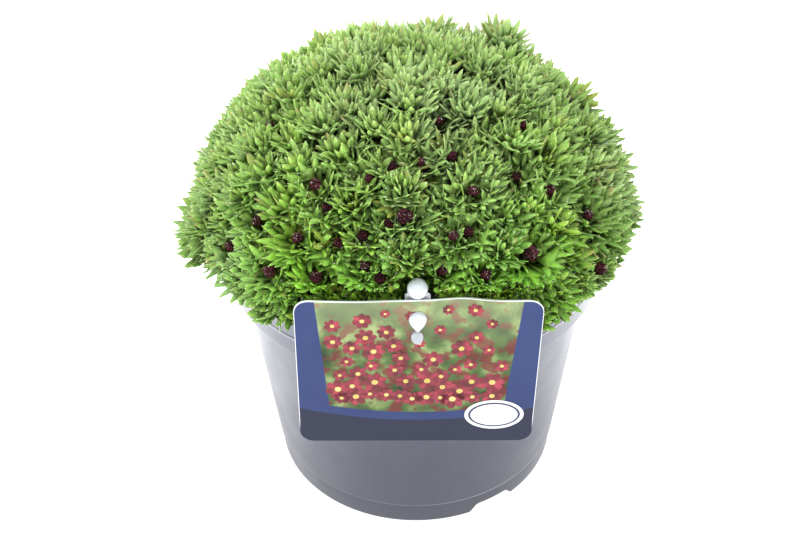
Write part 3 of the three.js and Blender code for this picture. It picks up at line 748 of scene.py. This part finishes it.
def leaf_material():
    paint = Paint("leaf_green")
    tone, along, edge, chance = paint.look()
    x, _, z = paint.axes()
    green = paint.ramp(
        tone,
        (0.0, (0.31, 0.55, 0.006)),
        (0.35, (0.235, 0.51, 0.015)),
        (0.7, (0.165, 0.425, 0.022)),
        (1.0, (0.145, 0.385, 0.03)),
    )
    dull = paint.grey(paint.away(chance, 0.5), 0.05, 0.08, 0.35, 0.0)
    # high: leaves higher up, mixed paler and greyer, a painted sheen where the top light falls
    high = paint.grey(z, 0.12, 0.158, 0.0, 0.6)
    # aside: leaves towards the left and right, mixed greyer and paler, a painted sheen at the sides
    aside = paint.grey(paint.away(x), 0.035, 0.075, 0.0, 0.75)
    # Painted reflection: pale glossy patches scattered over the top and the sides
    painted_gloss = paint.times(paint.cloud(32, 2, 0.44, 0.6, 0.0, 0.5), paint.math("MAXIMUM", high, aside))
    green = paint.mix(dull, green, (0.24, 0.42, 0.1))
    green = paint.mix(high, green, (0.46, 0.59, 0.26))
    green = paint.mix(aside, green, (0.165, 0.225, 0.115))
    # Painted shade: leaves to the right are darkened, away from the light
    green = paint.multiply(green, paint.grey(x, 0.02, 0.065, 1.0, 0.83))
    # Painted shade: leaves low down are mixed towards a darker, deeper green
    green = paint.mix(paint.grey(z, 0.1, 0.12, 0.6, 0.0), green, (0.13, 0.25, 0.06))
    green = paint.mix(painted_gloss, green, (0.44, 0.59, 0.33))
    green = paint.multiply(green, paint.cloud(1400, 4, 0.3, 0.75, 0.88, 1.14))
    green = paint.mix(paint.cloud(3800, 1, 0.6, 0.7, 0.0, 0.3), green, (0.6, 0.68, 0.36))
    # Painted shade: each leaf darkens towards its base, deep among the others
    green = paint.multiply(green, paint.grey(along, 0.1, 0.5, 0.4, 1.0))
    stops = [(light, (dark,) * 3) for light, dark in ((0.12, 0.12), (0.48, 0.56), (0.8, 1.0))]
    green = paint.multiply(green, paint.ramp(paint.attribute("shade")["Fac"], *stops))
    rim = paint.times(paint.grey(edge, 0.6, 1.0), 0.25)
    groove = paint.times(paint.grey(edge, 0.0, 0.25, 1.0, 0.0), 0.25)
    pale = paint.times(paint.grey(along, 0.9, 1.0), 0.36)
    rusty = paint.times(paint.grey(chance, 0.92, 0.94), paint.grey(along, 0.65, 0.95))
    olive = paint.times(paint.grey(chance, 0.015, 0.02, 1.0, 0.0), 0.5)
    green = paint.mix(rim, green, (0.38, 0.48, 0.14))
    green = paint.mix(groove, green, (0.34, 0.47, 0.1))
    green = paint.mix(pale, green, (0.52, 0.56, 0.26))
    green = paint.mix(paint.times(rusty, 0.65), green, (0.3, 0.14, 0.08))
    green = paint.mix(olive, green, (0.33, 0.3, 0.05))
    return paint.finish({
        "Base Color": green,
        "Roughness": 0.38,
        "Specular IOR Level": 0.14,
        "Specular Tint": (0.9, 1, 0.6),
        "Subsurface Weight": 0.2,
        "Subsurface Radius": (0.6, 1.0, 0.25),
        "Subsurface Scale": 0.0012,
    }, (2600, 2, 0.3, 0.0003))


def bud_material():
    paint = Paint("bud_maroon")
    tone, rise, _, _ = paint.look()
    stops = (0.0, (0.016, 0.002, 0.005)), (0.6, (0.042, 0.004, 0.01)), (1.0, (0.075, 0.008, 0.018))
    # Painted shade: the look's second channel darkens each small bud on its side towards the cluster's
    # middle
    red = paint.multiply(paint.ramp(tone, *stops), paint.grey(rise, 0.2, 0.8, 0.2, 1.2))
    # Painted highlights: small pale pink flecks over the buds
    red = paint.mix(paint.cloud(3500, 2, 0.66, 0.74, 0.0, 0.18), red, (0.42, 0.2, 0.22))
    inputs = {"Base Color": red, "Roughness": 0.45, "Specular IOR Level": 0.25}
    return paint.finish(inputs, (3000, 3, 0.3, 0.0002))


def soot_dots(paint):
    """Small dark dots, one in every few cells."""
    cells = paint.node("ShaderNodeTexVoronoi", {"Vector": paint.place, "Scale": 220}).outputs
    dot = paint.grey(cells["Distance"], 0.06, 0.1, 0.75, 0.0)
    return paint.times(dot, paint.grey(paint.split(cells["Color"])[0], 0.5, 0.51))


def pot_material():
    paint = Paint("pot_grey")
    x, _, z = paint.axes()
    grey = paint.multiply((0.012, 0.015, 0.04), paint.cloud(30, 5, 0.3, 0.7, 0.88, 1.1))
    dust = paint.grey(paint.noise(260, 6, 0.7), 0.58, 0.78, 0.0, 0.2)
    grey = paint.mix(dust, grey, (0.16, 0.15, 0.16))
    grey = paint.mix(soot_dots(paint), grey, (0.012, 0.01, 0.01))
    # Painted light: the pot lightens towards its bottom, as light bounced from the white floor
    grey = paint.mix(paint.grey(z, 0.004, 0.03, 0.7, 0.0), grey, (0.034, 0.037, 0.062))
    # Painted highlights: light lines along the foot's step and the bead, fading towards the left, away
    # from the light
    highlight_lines = ((FOOT_STEP_HEIGHT + 0.35, 0.45, 0.3, 0.25), (BEAD_HEIGHT, 0.5, 0.12, 1.0))
    for height, half, gain, least in highlight_lines:
        away = paint.times(paint.away(z, height * MM), 1 / MM)
        highlight_line = paint.grey(away, 0.4 * half, half, gain, 0.0)
        highlight_line = paint.times(highlight_line, paint.grey(x, 0.0, 0.03, least, 1.0))
        grey = paint.mix(highlight_line, grey, (0.9, 0.88, 0.95))
    return paint.finish({
        "Base Color": grey,
        "Roughness": paint.cloud(90, 4, 0.3, 0.7, 0.34, 0.44),
        "Coat Weight": 0.4,
        "Coat Roughness": 0.3,
        "Coat IOR": 1.6,
        "Coat Tint": (0.94, 0.97, 1.0),
    }, (1800, 3, 0.12, 0.0002))


def stem_material(name, *colors):
    return plain_material(name, (900,), colors, {"Roughness": 0.8}, (1500, 3, 0.5, 0.0004))


def clip_material(name, clearness):
    return plain_material(name, (150,), ((0.52, 0.55, 0.6), (0.58, 0.62, 0.67)), {
        "Roughness": 0.22,
        "Subsurface Weight": 0.5,
        "Subsurface Radius": (1, 1, 1),
        "Subsurface Scale": 0.003,
        "Transmission Weight": clearness,
    })


LEAF = leaf_material()
# Drops and glands, whose near white colour is a painted highlight
DROPS_AND_GLINTS = plain_material(
    "leaf_specks_glints", (500,), ((0.8, 0.86, 0.72), (0.95, 0.97, 0.92)),
    {"Roughness": 0.25},
)
STEM = stem_material("stem_brown", (0.03, 0.035, 0.012), (0.09, 0.085, 0.03))
# Near black: painted shade deep inside the cushion
SHADE_CORE = stem_material("cushion_core_shade", (0.006, 0.012, 0.003), (0.03, 0.05, 0.012))
BUD = bud_material()
POT = pot_material()
SOIL = plain_material(
    "soil_peat", (700, 5), ((0.012, 0.008, 0.005), (0.04, 0.025, 0.014), (0.1, 0.065, 0.035)),
    {"Roughness": 0.95}, (900, 5, 0.9, 0.0015), (0.3, 0.55, 0.75),
)
CLIP = clip_material("clip_milky", 0.12)
CLIP_CLEAR = clip_material("clip_clear", 0.5)


# Plant pieces


def nearest_shoots(rosettes):
    names = sorted(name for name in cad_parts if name.startswith("shoot_"))
    clouds = [node_points(name) for name in names]
    groups = {name: [] for name in names}
    for rosette in rosettes:
        heart = rosette.hub + rosette.axis * 3
        gaps = [norm(cloud - heart, axis=1).min() for cloud in clouds]
        groups[names[np.argmin(gaps)]].append(rosette)
    feet = {}
    for name, cloud in zip(names, clouds):
        low = cloud[cloud[:, 2] < SOIL_TOP]
        feet[name] = np.array([*low[:, :2].mean(axis=0), SOIL_TOP - 3])
    return groups, feet


def make_foliage(rosettes):
    groups, feet = nearest_shoots(rosettes)
    spare = []
    for name, group in groups.items():
        if not group:
            spare.append(name)
            continue
        skin = Skin()
        for rosette in group:
            grow_rosette(skin, rosette)
            add_core(skin, rosette)
            grow_stem(skin, rosette, feet[name])
        piece = skin.build(f"foliage_{name[-2:]}", [LEAF, DROPS_AND_GLINTS, STEM, SHADE_CORE])
        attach(piece, "root")
        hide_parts(name)
    if spare:
        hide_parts(*spare)


def add_cluster(skin, middle, axis, radius):
    ball_points, ball_faces = icosphere(2)
    small = np.clip(0.28 * radius, 0.55, 1.0)
    count = round(2.4 * (radius / small) ** 2)
    first = unit(np.cross(axis, [0.3, 1.0, 0.2]))
    second = np.cross(axis, first)
    # The inner ball's low second channel paints it dark, as shade between the small buds
    skin.add(middle + ball_points * (radius - 0.9 * small), ball_faces, (0, 0.1, 0, 0))
    for index in range(count):
        height = 1 - 1.45 * (index + 0.5) / count
        ring = sqrt(max(0, 1 - height * height))
        turn = index * GOLDEN_ANGLE
        way = axis * height + ring * (first * cos(turn) + second * sin(turn))
        size = small * rng.uniform(0.8, 1.15)
        centre = middle + way * (radius - 0.75 * size) * rng.uniform(0.94, 1.04)
        facing = ball_points @ way
        look = np.zeros((len(facing), 4))
        look[:, [0, 3]] = rng.random(2)
        # Lighter on a bud's outer side and darker on its inner side: painted shade
        look[:, 1] = 0.5 + 0.5 * facing
        stretch = ball_points + np.outer(facing, way) * 0.2
        skin.add(centre + stretch * size, ball_faces, look)


def make_buds(rosettes):
    for rosette in rosettes:
        if rosette.node is None:
            continue
        middle, radius = rosette.bud_middle, rosette.size
        skin = Skin()
        add_cluster(skin, middle, rosette.axis, radius)
        for _ in range(BUD_DROPS):
            way = unit(rosette.axis + rng.normal(0, 0.6, 3))
            # Specks on the bud, near white as painted glints
            skin.add(middle + way * radius * 1.02 + SPECK[0] * 0.13, SPECK[1], (1, 1, 1, 1), 1)
        piece = skin.build(f"bud_cluster_{rosette.node[-2:]}", [BUD, DROPS_AND_GLINTS])
        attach(piece, "root")
        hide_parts(rosette.node)
    skin = Skin()
    for rosette in rosettes:
        if rosette.bud and rosette.node is None:
            add_cluster(skin, rosette.bud_middle, rosette.axis, rosette.size)
    piece = skin.build("small_buds", [BUD])
    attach(piece, "root")


# Pot


def wall_radius(height):
    return FOOT_RADIUS + height / COLLAR_BOTTOM * (WALL_TOP_RADIUS - FOOT_RADIUS)


def lathe(profile, segments):
    """A closed skin turned from (radius, height) points that start and end on the axis."""
    inner = profile[1:-1]
    turns = np.linspace(0, tau, segments, endpoint=False)
    points = [(0, 0, profile[0][1])]
    for radius, height in inner:
        points += [(radius * cos(t), radius * sin(t), height) for t in turns]
    points.append((0, 0, profile[-1][1]))
    faces = [(0, 1 + (side + 1) % segments, 1 + side) for side in range(segments)]
    faces += [tuple(index + 1 for index in face) for face in bands(len(inner) - 1, segments)]
    last = 1 + (len(inner) - 1) * segments
    faces += end_fan(last, segments, len(points) - 1)
    return points, faces


def arc(centre, radius, start, end, count):
    turns = np.radians(np.linspace(start, end, count))
    return [(centre[0] + radius * cos(t), centre[1] + radius * sin(t)) for t in turns]


def pot_profile():
    step = wall_radius(FOOT_STEP_HEIGHT)
    return [
        (0, 0),
        (FOOT_RADIUS - 1, 0),
        *arc((FOOT_RADIUS - 0.8, 0.8), 0.8, -80, 0, 5),
        (step - FOOT_STEP, FOOT_STEP_HEIGHT - 0.1),
        *arc((step - FOOT_STEP, FOOT_STEP_HEIGHT + FOOT_STEP), FOOT_STEP, -80, 0, 6),
        (WALL_TOP_RADIUS - 0.4, COLLAR_BOTTOM - 1),
        (WALL_TOP_RADIUS, COLLAR_BOTTOM - 0.3),
        (WALL_TOP_RADIUS + 0.4, COLLAR_BOTTOM),
        *arc((COLLAR_RADIUS - 0.5, COLLAR_BOTTOM + 0.5), 0.5, -90, 0, 5),
        (COLLAR_RADIUS, BEAD_HEIGHT - 1),
        *arc((COLLAR_RADIUS + BEAD_PROUD - 1.2, BEAD_HEIGHT), 1.2, -38, 38, 7),
        (COLLAR_RADIUS, BEAD_HEIGHT + 1),
        *arc((COLLAR_RADIUS - 0.7, POT_HEIGHT - 0.7), 0.7, 0, 90, 6),
        *arc((INSIDE_RADIUS + 0.3, POT_HEIGHT - 0.3), 0.3, 90, 180, 3),
        (INSIDE_RADIUS, COLLAR_BOTTOM + WALL),
        (WALL_TOP_RADIUS - WALL, COLLAR_BOTTOM - WALL),
        (wall_radius(BASE_THICKNESS) - WALL, BASE_THICKNESS),
        (0, BASE_THICKNESS),
    ]


def notch_cutter(turn):
    """A low arch, through the foot's wall, with sloping rounded shoulders."""
    half = NOTCH_HALF
    outline = [(-half, -2), (half, -2), (half, 0), *arc((half - 4.4, 1.6), 2.4, 20, 90, 6)]
    outline += [(-x, z) for x, z in reversed(outline[3:])] + [(-half, 0)]
    outline = np.array(outline)
    count = len(outline)
    right, front = cos(turn), sin(turn)
    points = []
    for depth in (FOOT_RADIUS - 9, FOOT_RADIUS + 4):
        for x, z in outline:
            points.append((x * right + depth * front, x * front - depth * right, z))
    faces = [tuple(range(count - 1, -1, -1)), tuple(range(count, 2 * count))]
    faces += [(k, (k + 1) % count, (k + 1) % count + count, k + count) for k in range(count)]
    mesh = bpy.data.meshes.new("notch_cutter")
    mesh.from_pydata((np.array(points) * MM).tolist(), [], faces)
    return add_object("notch_cutter", mesh)


def cut(piece, cutters):
    """Cuts the cutters out of a piece and leaves no modifier on it."""
    for cutter in cutters:
        modifier = piece.modifiers.new("notch", "BOOLEAN")
        modifier.operation = "DIFFERENCE"
        modifier.solver = "EXACT"
        modifier.object = cutter
    bpy.context.view_layer.update()
    state = bpy.context.evaluated_depsgraph_get()
    mesh = bpy.data.meshes.new_from_object(piece.evaluated_get(state))
    piece.modifiers.clear()
    piece.data = mesh
    for cutter in cutters:
        bpy.data.objects.remove(cutter)


def make_pot():
    skin = Skin()
    skin.add(*lathe(pot_profile(), POT_SEGMENTS))
    piece = skin.build("pot_shell", [POT])
    cut(piece, [notch_cutter(radians(turn)) for turn in NOTCH_TURNS])
    piece.data.set_sharp_from_angle(angle=radians(32))
    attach(piece, "root")
    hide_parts("pot")


# Soil


def make_soil():
    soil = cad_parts["soil"]
    soil.data.materials.clear()
    soil.data.materials.append(SOIL)
    grain_points, grain_faces = icosphere(1)
    skin = Skin()
    for _ in range(SOIL_CRUMBS):
        radius = CRUMB_FIELD * sqrt(rng.random())
        turn = rng.random() * tau
        size = rng.uniform(0.5, 1.6)
        place = np.array([radius * cos(turn), radius * sin(turn), SOIL_TOP + 0.2 * size])
        shape = grain_points * rng.uniform(0.6, 1.2, 3) * size
        skin.add(place + shape, grain_faces, (0, 0, 0, rng.random()))
    piece = skin.build("soil_crumbs", [SOIL], smooth=False)
    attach(piece, "root")


# Card


def card_place(u, v, depth):
    """A point of the card, from its own right, up and forward measures, to the pot's frame."""
    lean = radians(CARD_LEAN)
    x = CARD_CENTRE[0] + u * cos(lean) + v * sin(lean)
    z = CARD_CENTRE[1] - u * sin(lean) + v * cos(lean)
    top = np.clip((v + 8) / 37, 0, 1) ** 2
    off = np.clip(np.abs(u) / 37, 0, 1)
    wave = top * 0.5 * np.sin(np.pi * off) ** 2 + 0.1 * top * np.sin(u / 5.5)
    wave = wave - 1.7 * top * np.exp(-((u - 13) / 8) ** 2)
    wave = wave + CARD_TILT * v - CARD_YAW * u
    return np.stack([x, CARD_BACK - wave - depth, z], axis=-1)


def rounded_card():
    """A grid over the card whose outer rows follow the rounded corners."""
    place = np.stack(np.meshgrid(*(np.linspace(-1, 1, count) for count in CARD_GRID)), -1) * CARD_HALF
    over = np.maximum(np.abs(place) - CARD_INNER, 0)
    scale = over.max(axis=-1) / np.maximum(np.hypot(over[..., 0], over[..., 1]), 1e-9)
    rounded = np.sign(place) * (CARD_INNER + over * scale[..., None])
    at_corner = over.prod(axis=-1) > 0
    place = np.where(at_corner[..., None], rounded, place)
    return place[..., 0], place[..., 1]


def card_look(u, v):
    """The card's own measures as a look: right, up, and how near the rim, each from 0 to 1."""
    over = np.array([np.abs(u) - CARD_INNER[0], np.abs(v) - CARD_INNER[1]])
    outside = np.hypot(*np.maximum(over, 0)) + np.minimum(over.max(axis=0), 0)
    rim = np.clip(1 + (outside - CARD_CORNER) / 10, 0, 1)
    return np.stack([0.5 + u / 100, 0.5 + v / 100, rim, np.zeros_like(u)], axis=-1)


def card_material():
    """A blue and navy ground, a bowed meadow picture on it and a pale rim."""
    paint = Paint("card_print")
    right, up, rim, _ = paint.look()
    u, v = (paint.times(paint.math("SUBTRACT", side, 0.5), 100) for side in (right, up))
    bow = paint.times(paint.times(u, u), 0.004)
    blue = paint.mix(paint.cloud(60, 3, 0.3, 0.7), (0.015, 0.03, 0.108), (0.02, 0.036, 0.122))
    line = paint.math("SUBTRACT", paint.math("ADD", v, 20.5), bow)
    ground = paint.mix(paint.grey(line, 0.4, 0.6, 1.0, 0.0), blue, (0.0114, 0.0147, 0.038))
    meadow = paint.ramp(
        paint.noise(120, 4),
        (0.3, (0.012, 0.026, 0.008)),
        (0.5, (0.06, 0.11, 0.028)),
        (0.7, (0.24, 0.31, 0.12)),
    )
    meadow = paint.mix(paint.cloud(210, 4, 0.5, 0.58, 0.0, 0.8), meadow, (0.12, 0.006, 0.014))
    meadow = paint.mix(paint.grey(up, 0.6, 0.8, 0.0, 0.3), meadow, (0.4, 0.45, 0.26))
    side = paint.math("SUBTRACT", paint.away(u), paint.times(v, 0.08))
    side = paint.math("SUBTRACT", side, 28)
    level = paint.math("SUBTRACT", paint.math("ADD", -16, bow), v)
    picture = paint.grey(paint.math("MAXIMUM", side, level), 0.35, 0.6, 1.0, 0.0)
    border = paint.times(paint.grey(rim, 0.978, 0.99), paint.grey(up, 0.26, 0.3))
    color = paint.mix(border, paint.mix(picture, ground, meadow), (0.8, 0.82, 0.84))
    inputs = {"Base Color": color, "Roughness": 0.3, "Specular IOR Level": 0.3}
    return paint.finish(inputs, (700, 3, 0.05, 0.0001))


PRINTS = (
    ("print_crimson", (0.06, 0.002, 0.006), (0.22, 0.01, 0.024)),
    ("print_rose", (0.09, 0.004, 0.012), (0.34, 0.03, 0.055)),
    ("print_yellow", (0.4, 0.3, 0.05), (0.6, 0.5, 0.18)),
    ("print_white", (0.6, 0.62, 0.64), (0.66, 0.68, 0.7)),
    ("print_navy", (0.014, 0.018, 0.06), (0.02, 0.025, 0.075)),
)


def add_patch(skin, outline, middle, depth, material):
    """A flat printed patch on the card: a fan of thin faces round its middle."""
    u, v = np.vstack([outline, middle]).T
    count = len(outline)
    skin.add(card_place(u, v, depth), end_fan(0, count, count), card_look(u, v), material)


def ring_points(u, v, across, rise, count, turn=0.0):
    turns = np.linspace(0, tau, count, endpoint=False)
    x, y = across * np.cos(turns), rise * np.sin(turns)
    right, up = cos(turn), sin(turn)
    return np.stack([u + x * right - y * up, v + x * up + y * right], axis=1)


def add_daisy(skin, u, v, size, depth):
    phase = rng.random()
    for index in range(PETALS):
        turn = phase + index * tau / PETALS
        middle = (u + 0.62 * size * cos(turn), v + 0.62 * size * sin(turn))
        outline = ring_points(*middle, 0.42 * size, 0.32 * size, 10, turn)
        add_patch(skin, outline, middle, depth, 1 if index % 2 else 2)
    add_patch(skin, ring_points(u, v, 0.26 * size, 0.26 * size, 12), (u, v), depth + 0.03, 3)


def make_card():
    u, v = rounded_card()
    skin = Skin()
    look = card_look(u.ravel(), v.ravel())
    front = card_place(u, v, CARD_THICKNESS).reshape(-1, 3)
    back = card_place(u, v, 0.0).reshape(-1, 3)
    count = u.size
    index = np.arange(count).reshape(u.shape)
    a, b = index[:-1, :-1].ravel(), index[:-1, 1:].ravel()
    c, d = index[1:, 1:].ravel(), index[1:, :-1].ravel()
    faces = np.concatenate([np.stack([a, b, c], 1), np.stack([a, c, d], 1)])
    edge = np.concatenate([index[0, :], index[1:, -1], index[-1, -2::-1], index[-2:0:-1, 0]])
    after = np.roll(edge, -1)
    first = np.stack([edge, edge + count, after + count], 1)
    second = np.stack([edge, after + count, after], 1)
    faces = np.concatenate([faces, faces[:, ::-1] + count, first, second])
    skin.add(np.concatenate([front, back]), faces, np.concatenate([look, look]))
    depth = CARD_THICKNESS + PRINT_LIFT
    blooms = []
    for _ in range(BLOOM_TRIES):
        place = np.array([rng.uniform(-26, 26), rng.uniform(-11, 26)])
        crowd = 3.8 + 0.09 * (place[1] + 11)
        if all(norm(place - other) > crowd for other in blooms):
            blooms.append(place)
        if len(blooms) == BLOOMS:
            break
    for number, (at_u, at_v) in enumerate(blooms):
        add_daisy(skin, at_u, at_v, rng.uniform(2.2, 3.9) - 0.03 * at_v, depth + 0.05 * (number % 3))
    for across, rise, lift, ink in ((9.4, 6.4, 0.2, 4), (8.2, 5.3, 0.24, 5), (7.5, 4.7, 0.28, 4)):
        add_patch(skin, ring_points(*OVAL, across, rise, 48), OVAL, depth + lift, ink)
    materials = [card_material()]
    for name, *colors in PRINTS:
        materials.append(plain_material(name, (300,), colors, {"Roughness": 0.28}))
    piece = skin.build("card_printed", materials)
    piece.data.set_sharp_from_angle(angle=radians(40))
    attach(piece, "root")
    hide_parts("label_card")


# Clip

PILLOW_RINGS = 7


def add_pillow(skin, outline, face_y, thickness, material=0):
    """A flat-backed rounded body over an outline of (x, z) points, swelling forward."""
    outline = np.array(outline)
    middle = outline.mean(axis=0)
    points = []
    for turn in np.linspace(0, pi / 2 * 0.92, PILLOW_RINGS):
        for x, z in middle + (outline - middle) * cos(turn):
            points.append((x, face_y - thickness * sin(turn), z))
    points.append((middle[0], face_y - thickness, middle[1]))
    skin.add(points, closed_rings(PILLOW_RINGS, len(outline)), material=material)


def add_box(skin, low, high):
    (x0, y0, z0), (x1, y1, z1) = low, high
    points = [(x, y, z) for z in (z0, z1) for x, y in ((x0, y0), (x1, y0), (x1, y1), (x0, y1))]
    faces = [(0, 2, 1), (0, 3, 2), (4, 5, 6), (4, 6, 7)]
    for k in range(4):
        n = (k + 1) % 4
        faces += [(k, n, n + 4), (k, n + 4, k + 4)]
    skin.add(points, faces)


def make_clip():
    skin = Skin()
    left, right = CLIP_X - CLIP_HALF, CLIP_X + CLIP_HALF
    add_box(skin, (left, CLIP_FRONT, 86), (right, -65.65, 117))
    add_box(skin, (left, CLIP_FRONT, CLIP_TOP - 1.1), (right, CLIP_INSIDE, CLIP_TOP))
    add_box(skin, (left, CLIP_INSIDE - 1.1, 88), (right, CLIP_INSIDE, CLIP_TOP))
    sphere_points, sphere_faces = icosphere(4)
    knob = sphere_points.copy()
    knob[:, 2] += np.where(knob[:, 2] > 0.6, (knob[:, 2] - 0.6) * 0.25, 0)
    skin.add(knob * KNOB_RADIUS + KNOB_PLACE, sphere_faces)
    skin.add(sphere_points * [3.9, 0.9, 1.6] + [CLIP_X, -66.1, 116.8], sphere_faces)
    face = CARD_BACK - CARD_THICKNESS - 0.3
    acorn = []
    for turn in np.linspace(0, tau, 40, endpoint=False):
        x, z = cos(turn), sin(turn)
        waist = 1 if z > 0 else 1 - 0.55 * (-z) ** 1.4
        acorn.append((CLIP_X + 2.75 * x * waist, BUTTON_HEIGHT + (3.3 if z > 0 else 4.4) * z))
    add_pillow(skin, acorn, face, 2.2)
    lobe = ring_points(CLIP_X - 0.2, 102, 1.9, 2.7, 32)
    add_pillow(skin, lobe, face, 1.1, 1)
    add_box(skin, (CLIP_X - 1.5, face - 0.2, 106), (CLIP_X + 1.5, -66.6, 109))
    piece = skin.build("clip_body", [CLIP, CLIP_CLEAR])
    piece.data.set_sharp_from_angle(angle=radians(45))
    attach(piece, "root")
    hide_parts("label_clip")


# Stage: floor, light and camera

SKY_STRENGTH = 0.85
LIGHT_TARGET = (0, 0, 0.1)
LIGHTS = (
    ("top_light", (-0.35, 0.15, 1.0), 1.1, 11.0),
    ("front_light", (0.1, -0.9, 0.9), 0.6, 4.2),
)


def make_stage():
    bpy.ops.mesh.primitive_plane_add(size=6, location=(0, 0, 0))
    floor = bpy.context.object
    floor.name = "floor"
    paint = Paint("floor_white")
    # The floor glows, about five times more towards the left and right, as light for the sides of the
    # pot and the cushion
    aside = paint.grey(paint.away(paint.axes()[0]), 0.06, 0.2, 0.92, 4.6)
    floor.data.materials.append(paint.finish({
        "Base Color": paint.cloud(3, 3, 0.3, 0.7, 0.39, 0.41),
        "Roughness": 0.6,
        "Emission Strength": aside,
    }))
    world = bpy.context.scene.world or bpy.data.worlds.new("world")
    bpy.context.scene.world = world
    world.use_nodes = True
    background = world.node_tree.nodes["Background"]
    background.inputs["Color"].default_value = (1, 1, 1, 1)
    background.inputs["Strength"].default_value = SKY_STRENGTH


def make_lights():
    for name, place, size, watts in LIGHTS:
        data = bpy.data.lights.new(name, "AREA")
        data.size = size
        data.energy = watts
        lamp = add_object(name, data)
        lamp.location = place
        way = Vector(LIGHT_TARGET) - Vector(place)
        lamp.rotation_euler = way.to_track_quat("-Z", "Y").to_euler()


def make_camera():
    data = bpy.data.cameras.new("photo_camera")
    data.sensor_fit = "HORIZONTAL"
    data.sensor_width = 36
    data.lens = CAMERA_LENS
    data.clip_start = 0.01
    data.clip_end = 20
    camera = add_object("photo_camera", data)
    place = Vector(CAMERA_PLACE)
    look = (Vector(CAMERA_TARGET) - place).to_track_quat("-Z", "Y")
    roll = Quaternion((0, 0, 1), radians(CAMERA_ROLL))
    camera.matrix_world = Matrix.LocRotScale(place * MM, look @ roll, None)
    bpy.context.scene.camera = camera


bpy.context.scene.view_settings.view_transform = "Standard"
make_camera()
make_stage()
make_lights()
make_pot()
make_soil()
make_card()
make_clip()
all_rosettes = make_rosettes()
bud_views = bud_sight_lines(all_rosettes)
make_foliage(all_rosettes)
make_buds(all_rosettes)
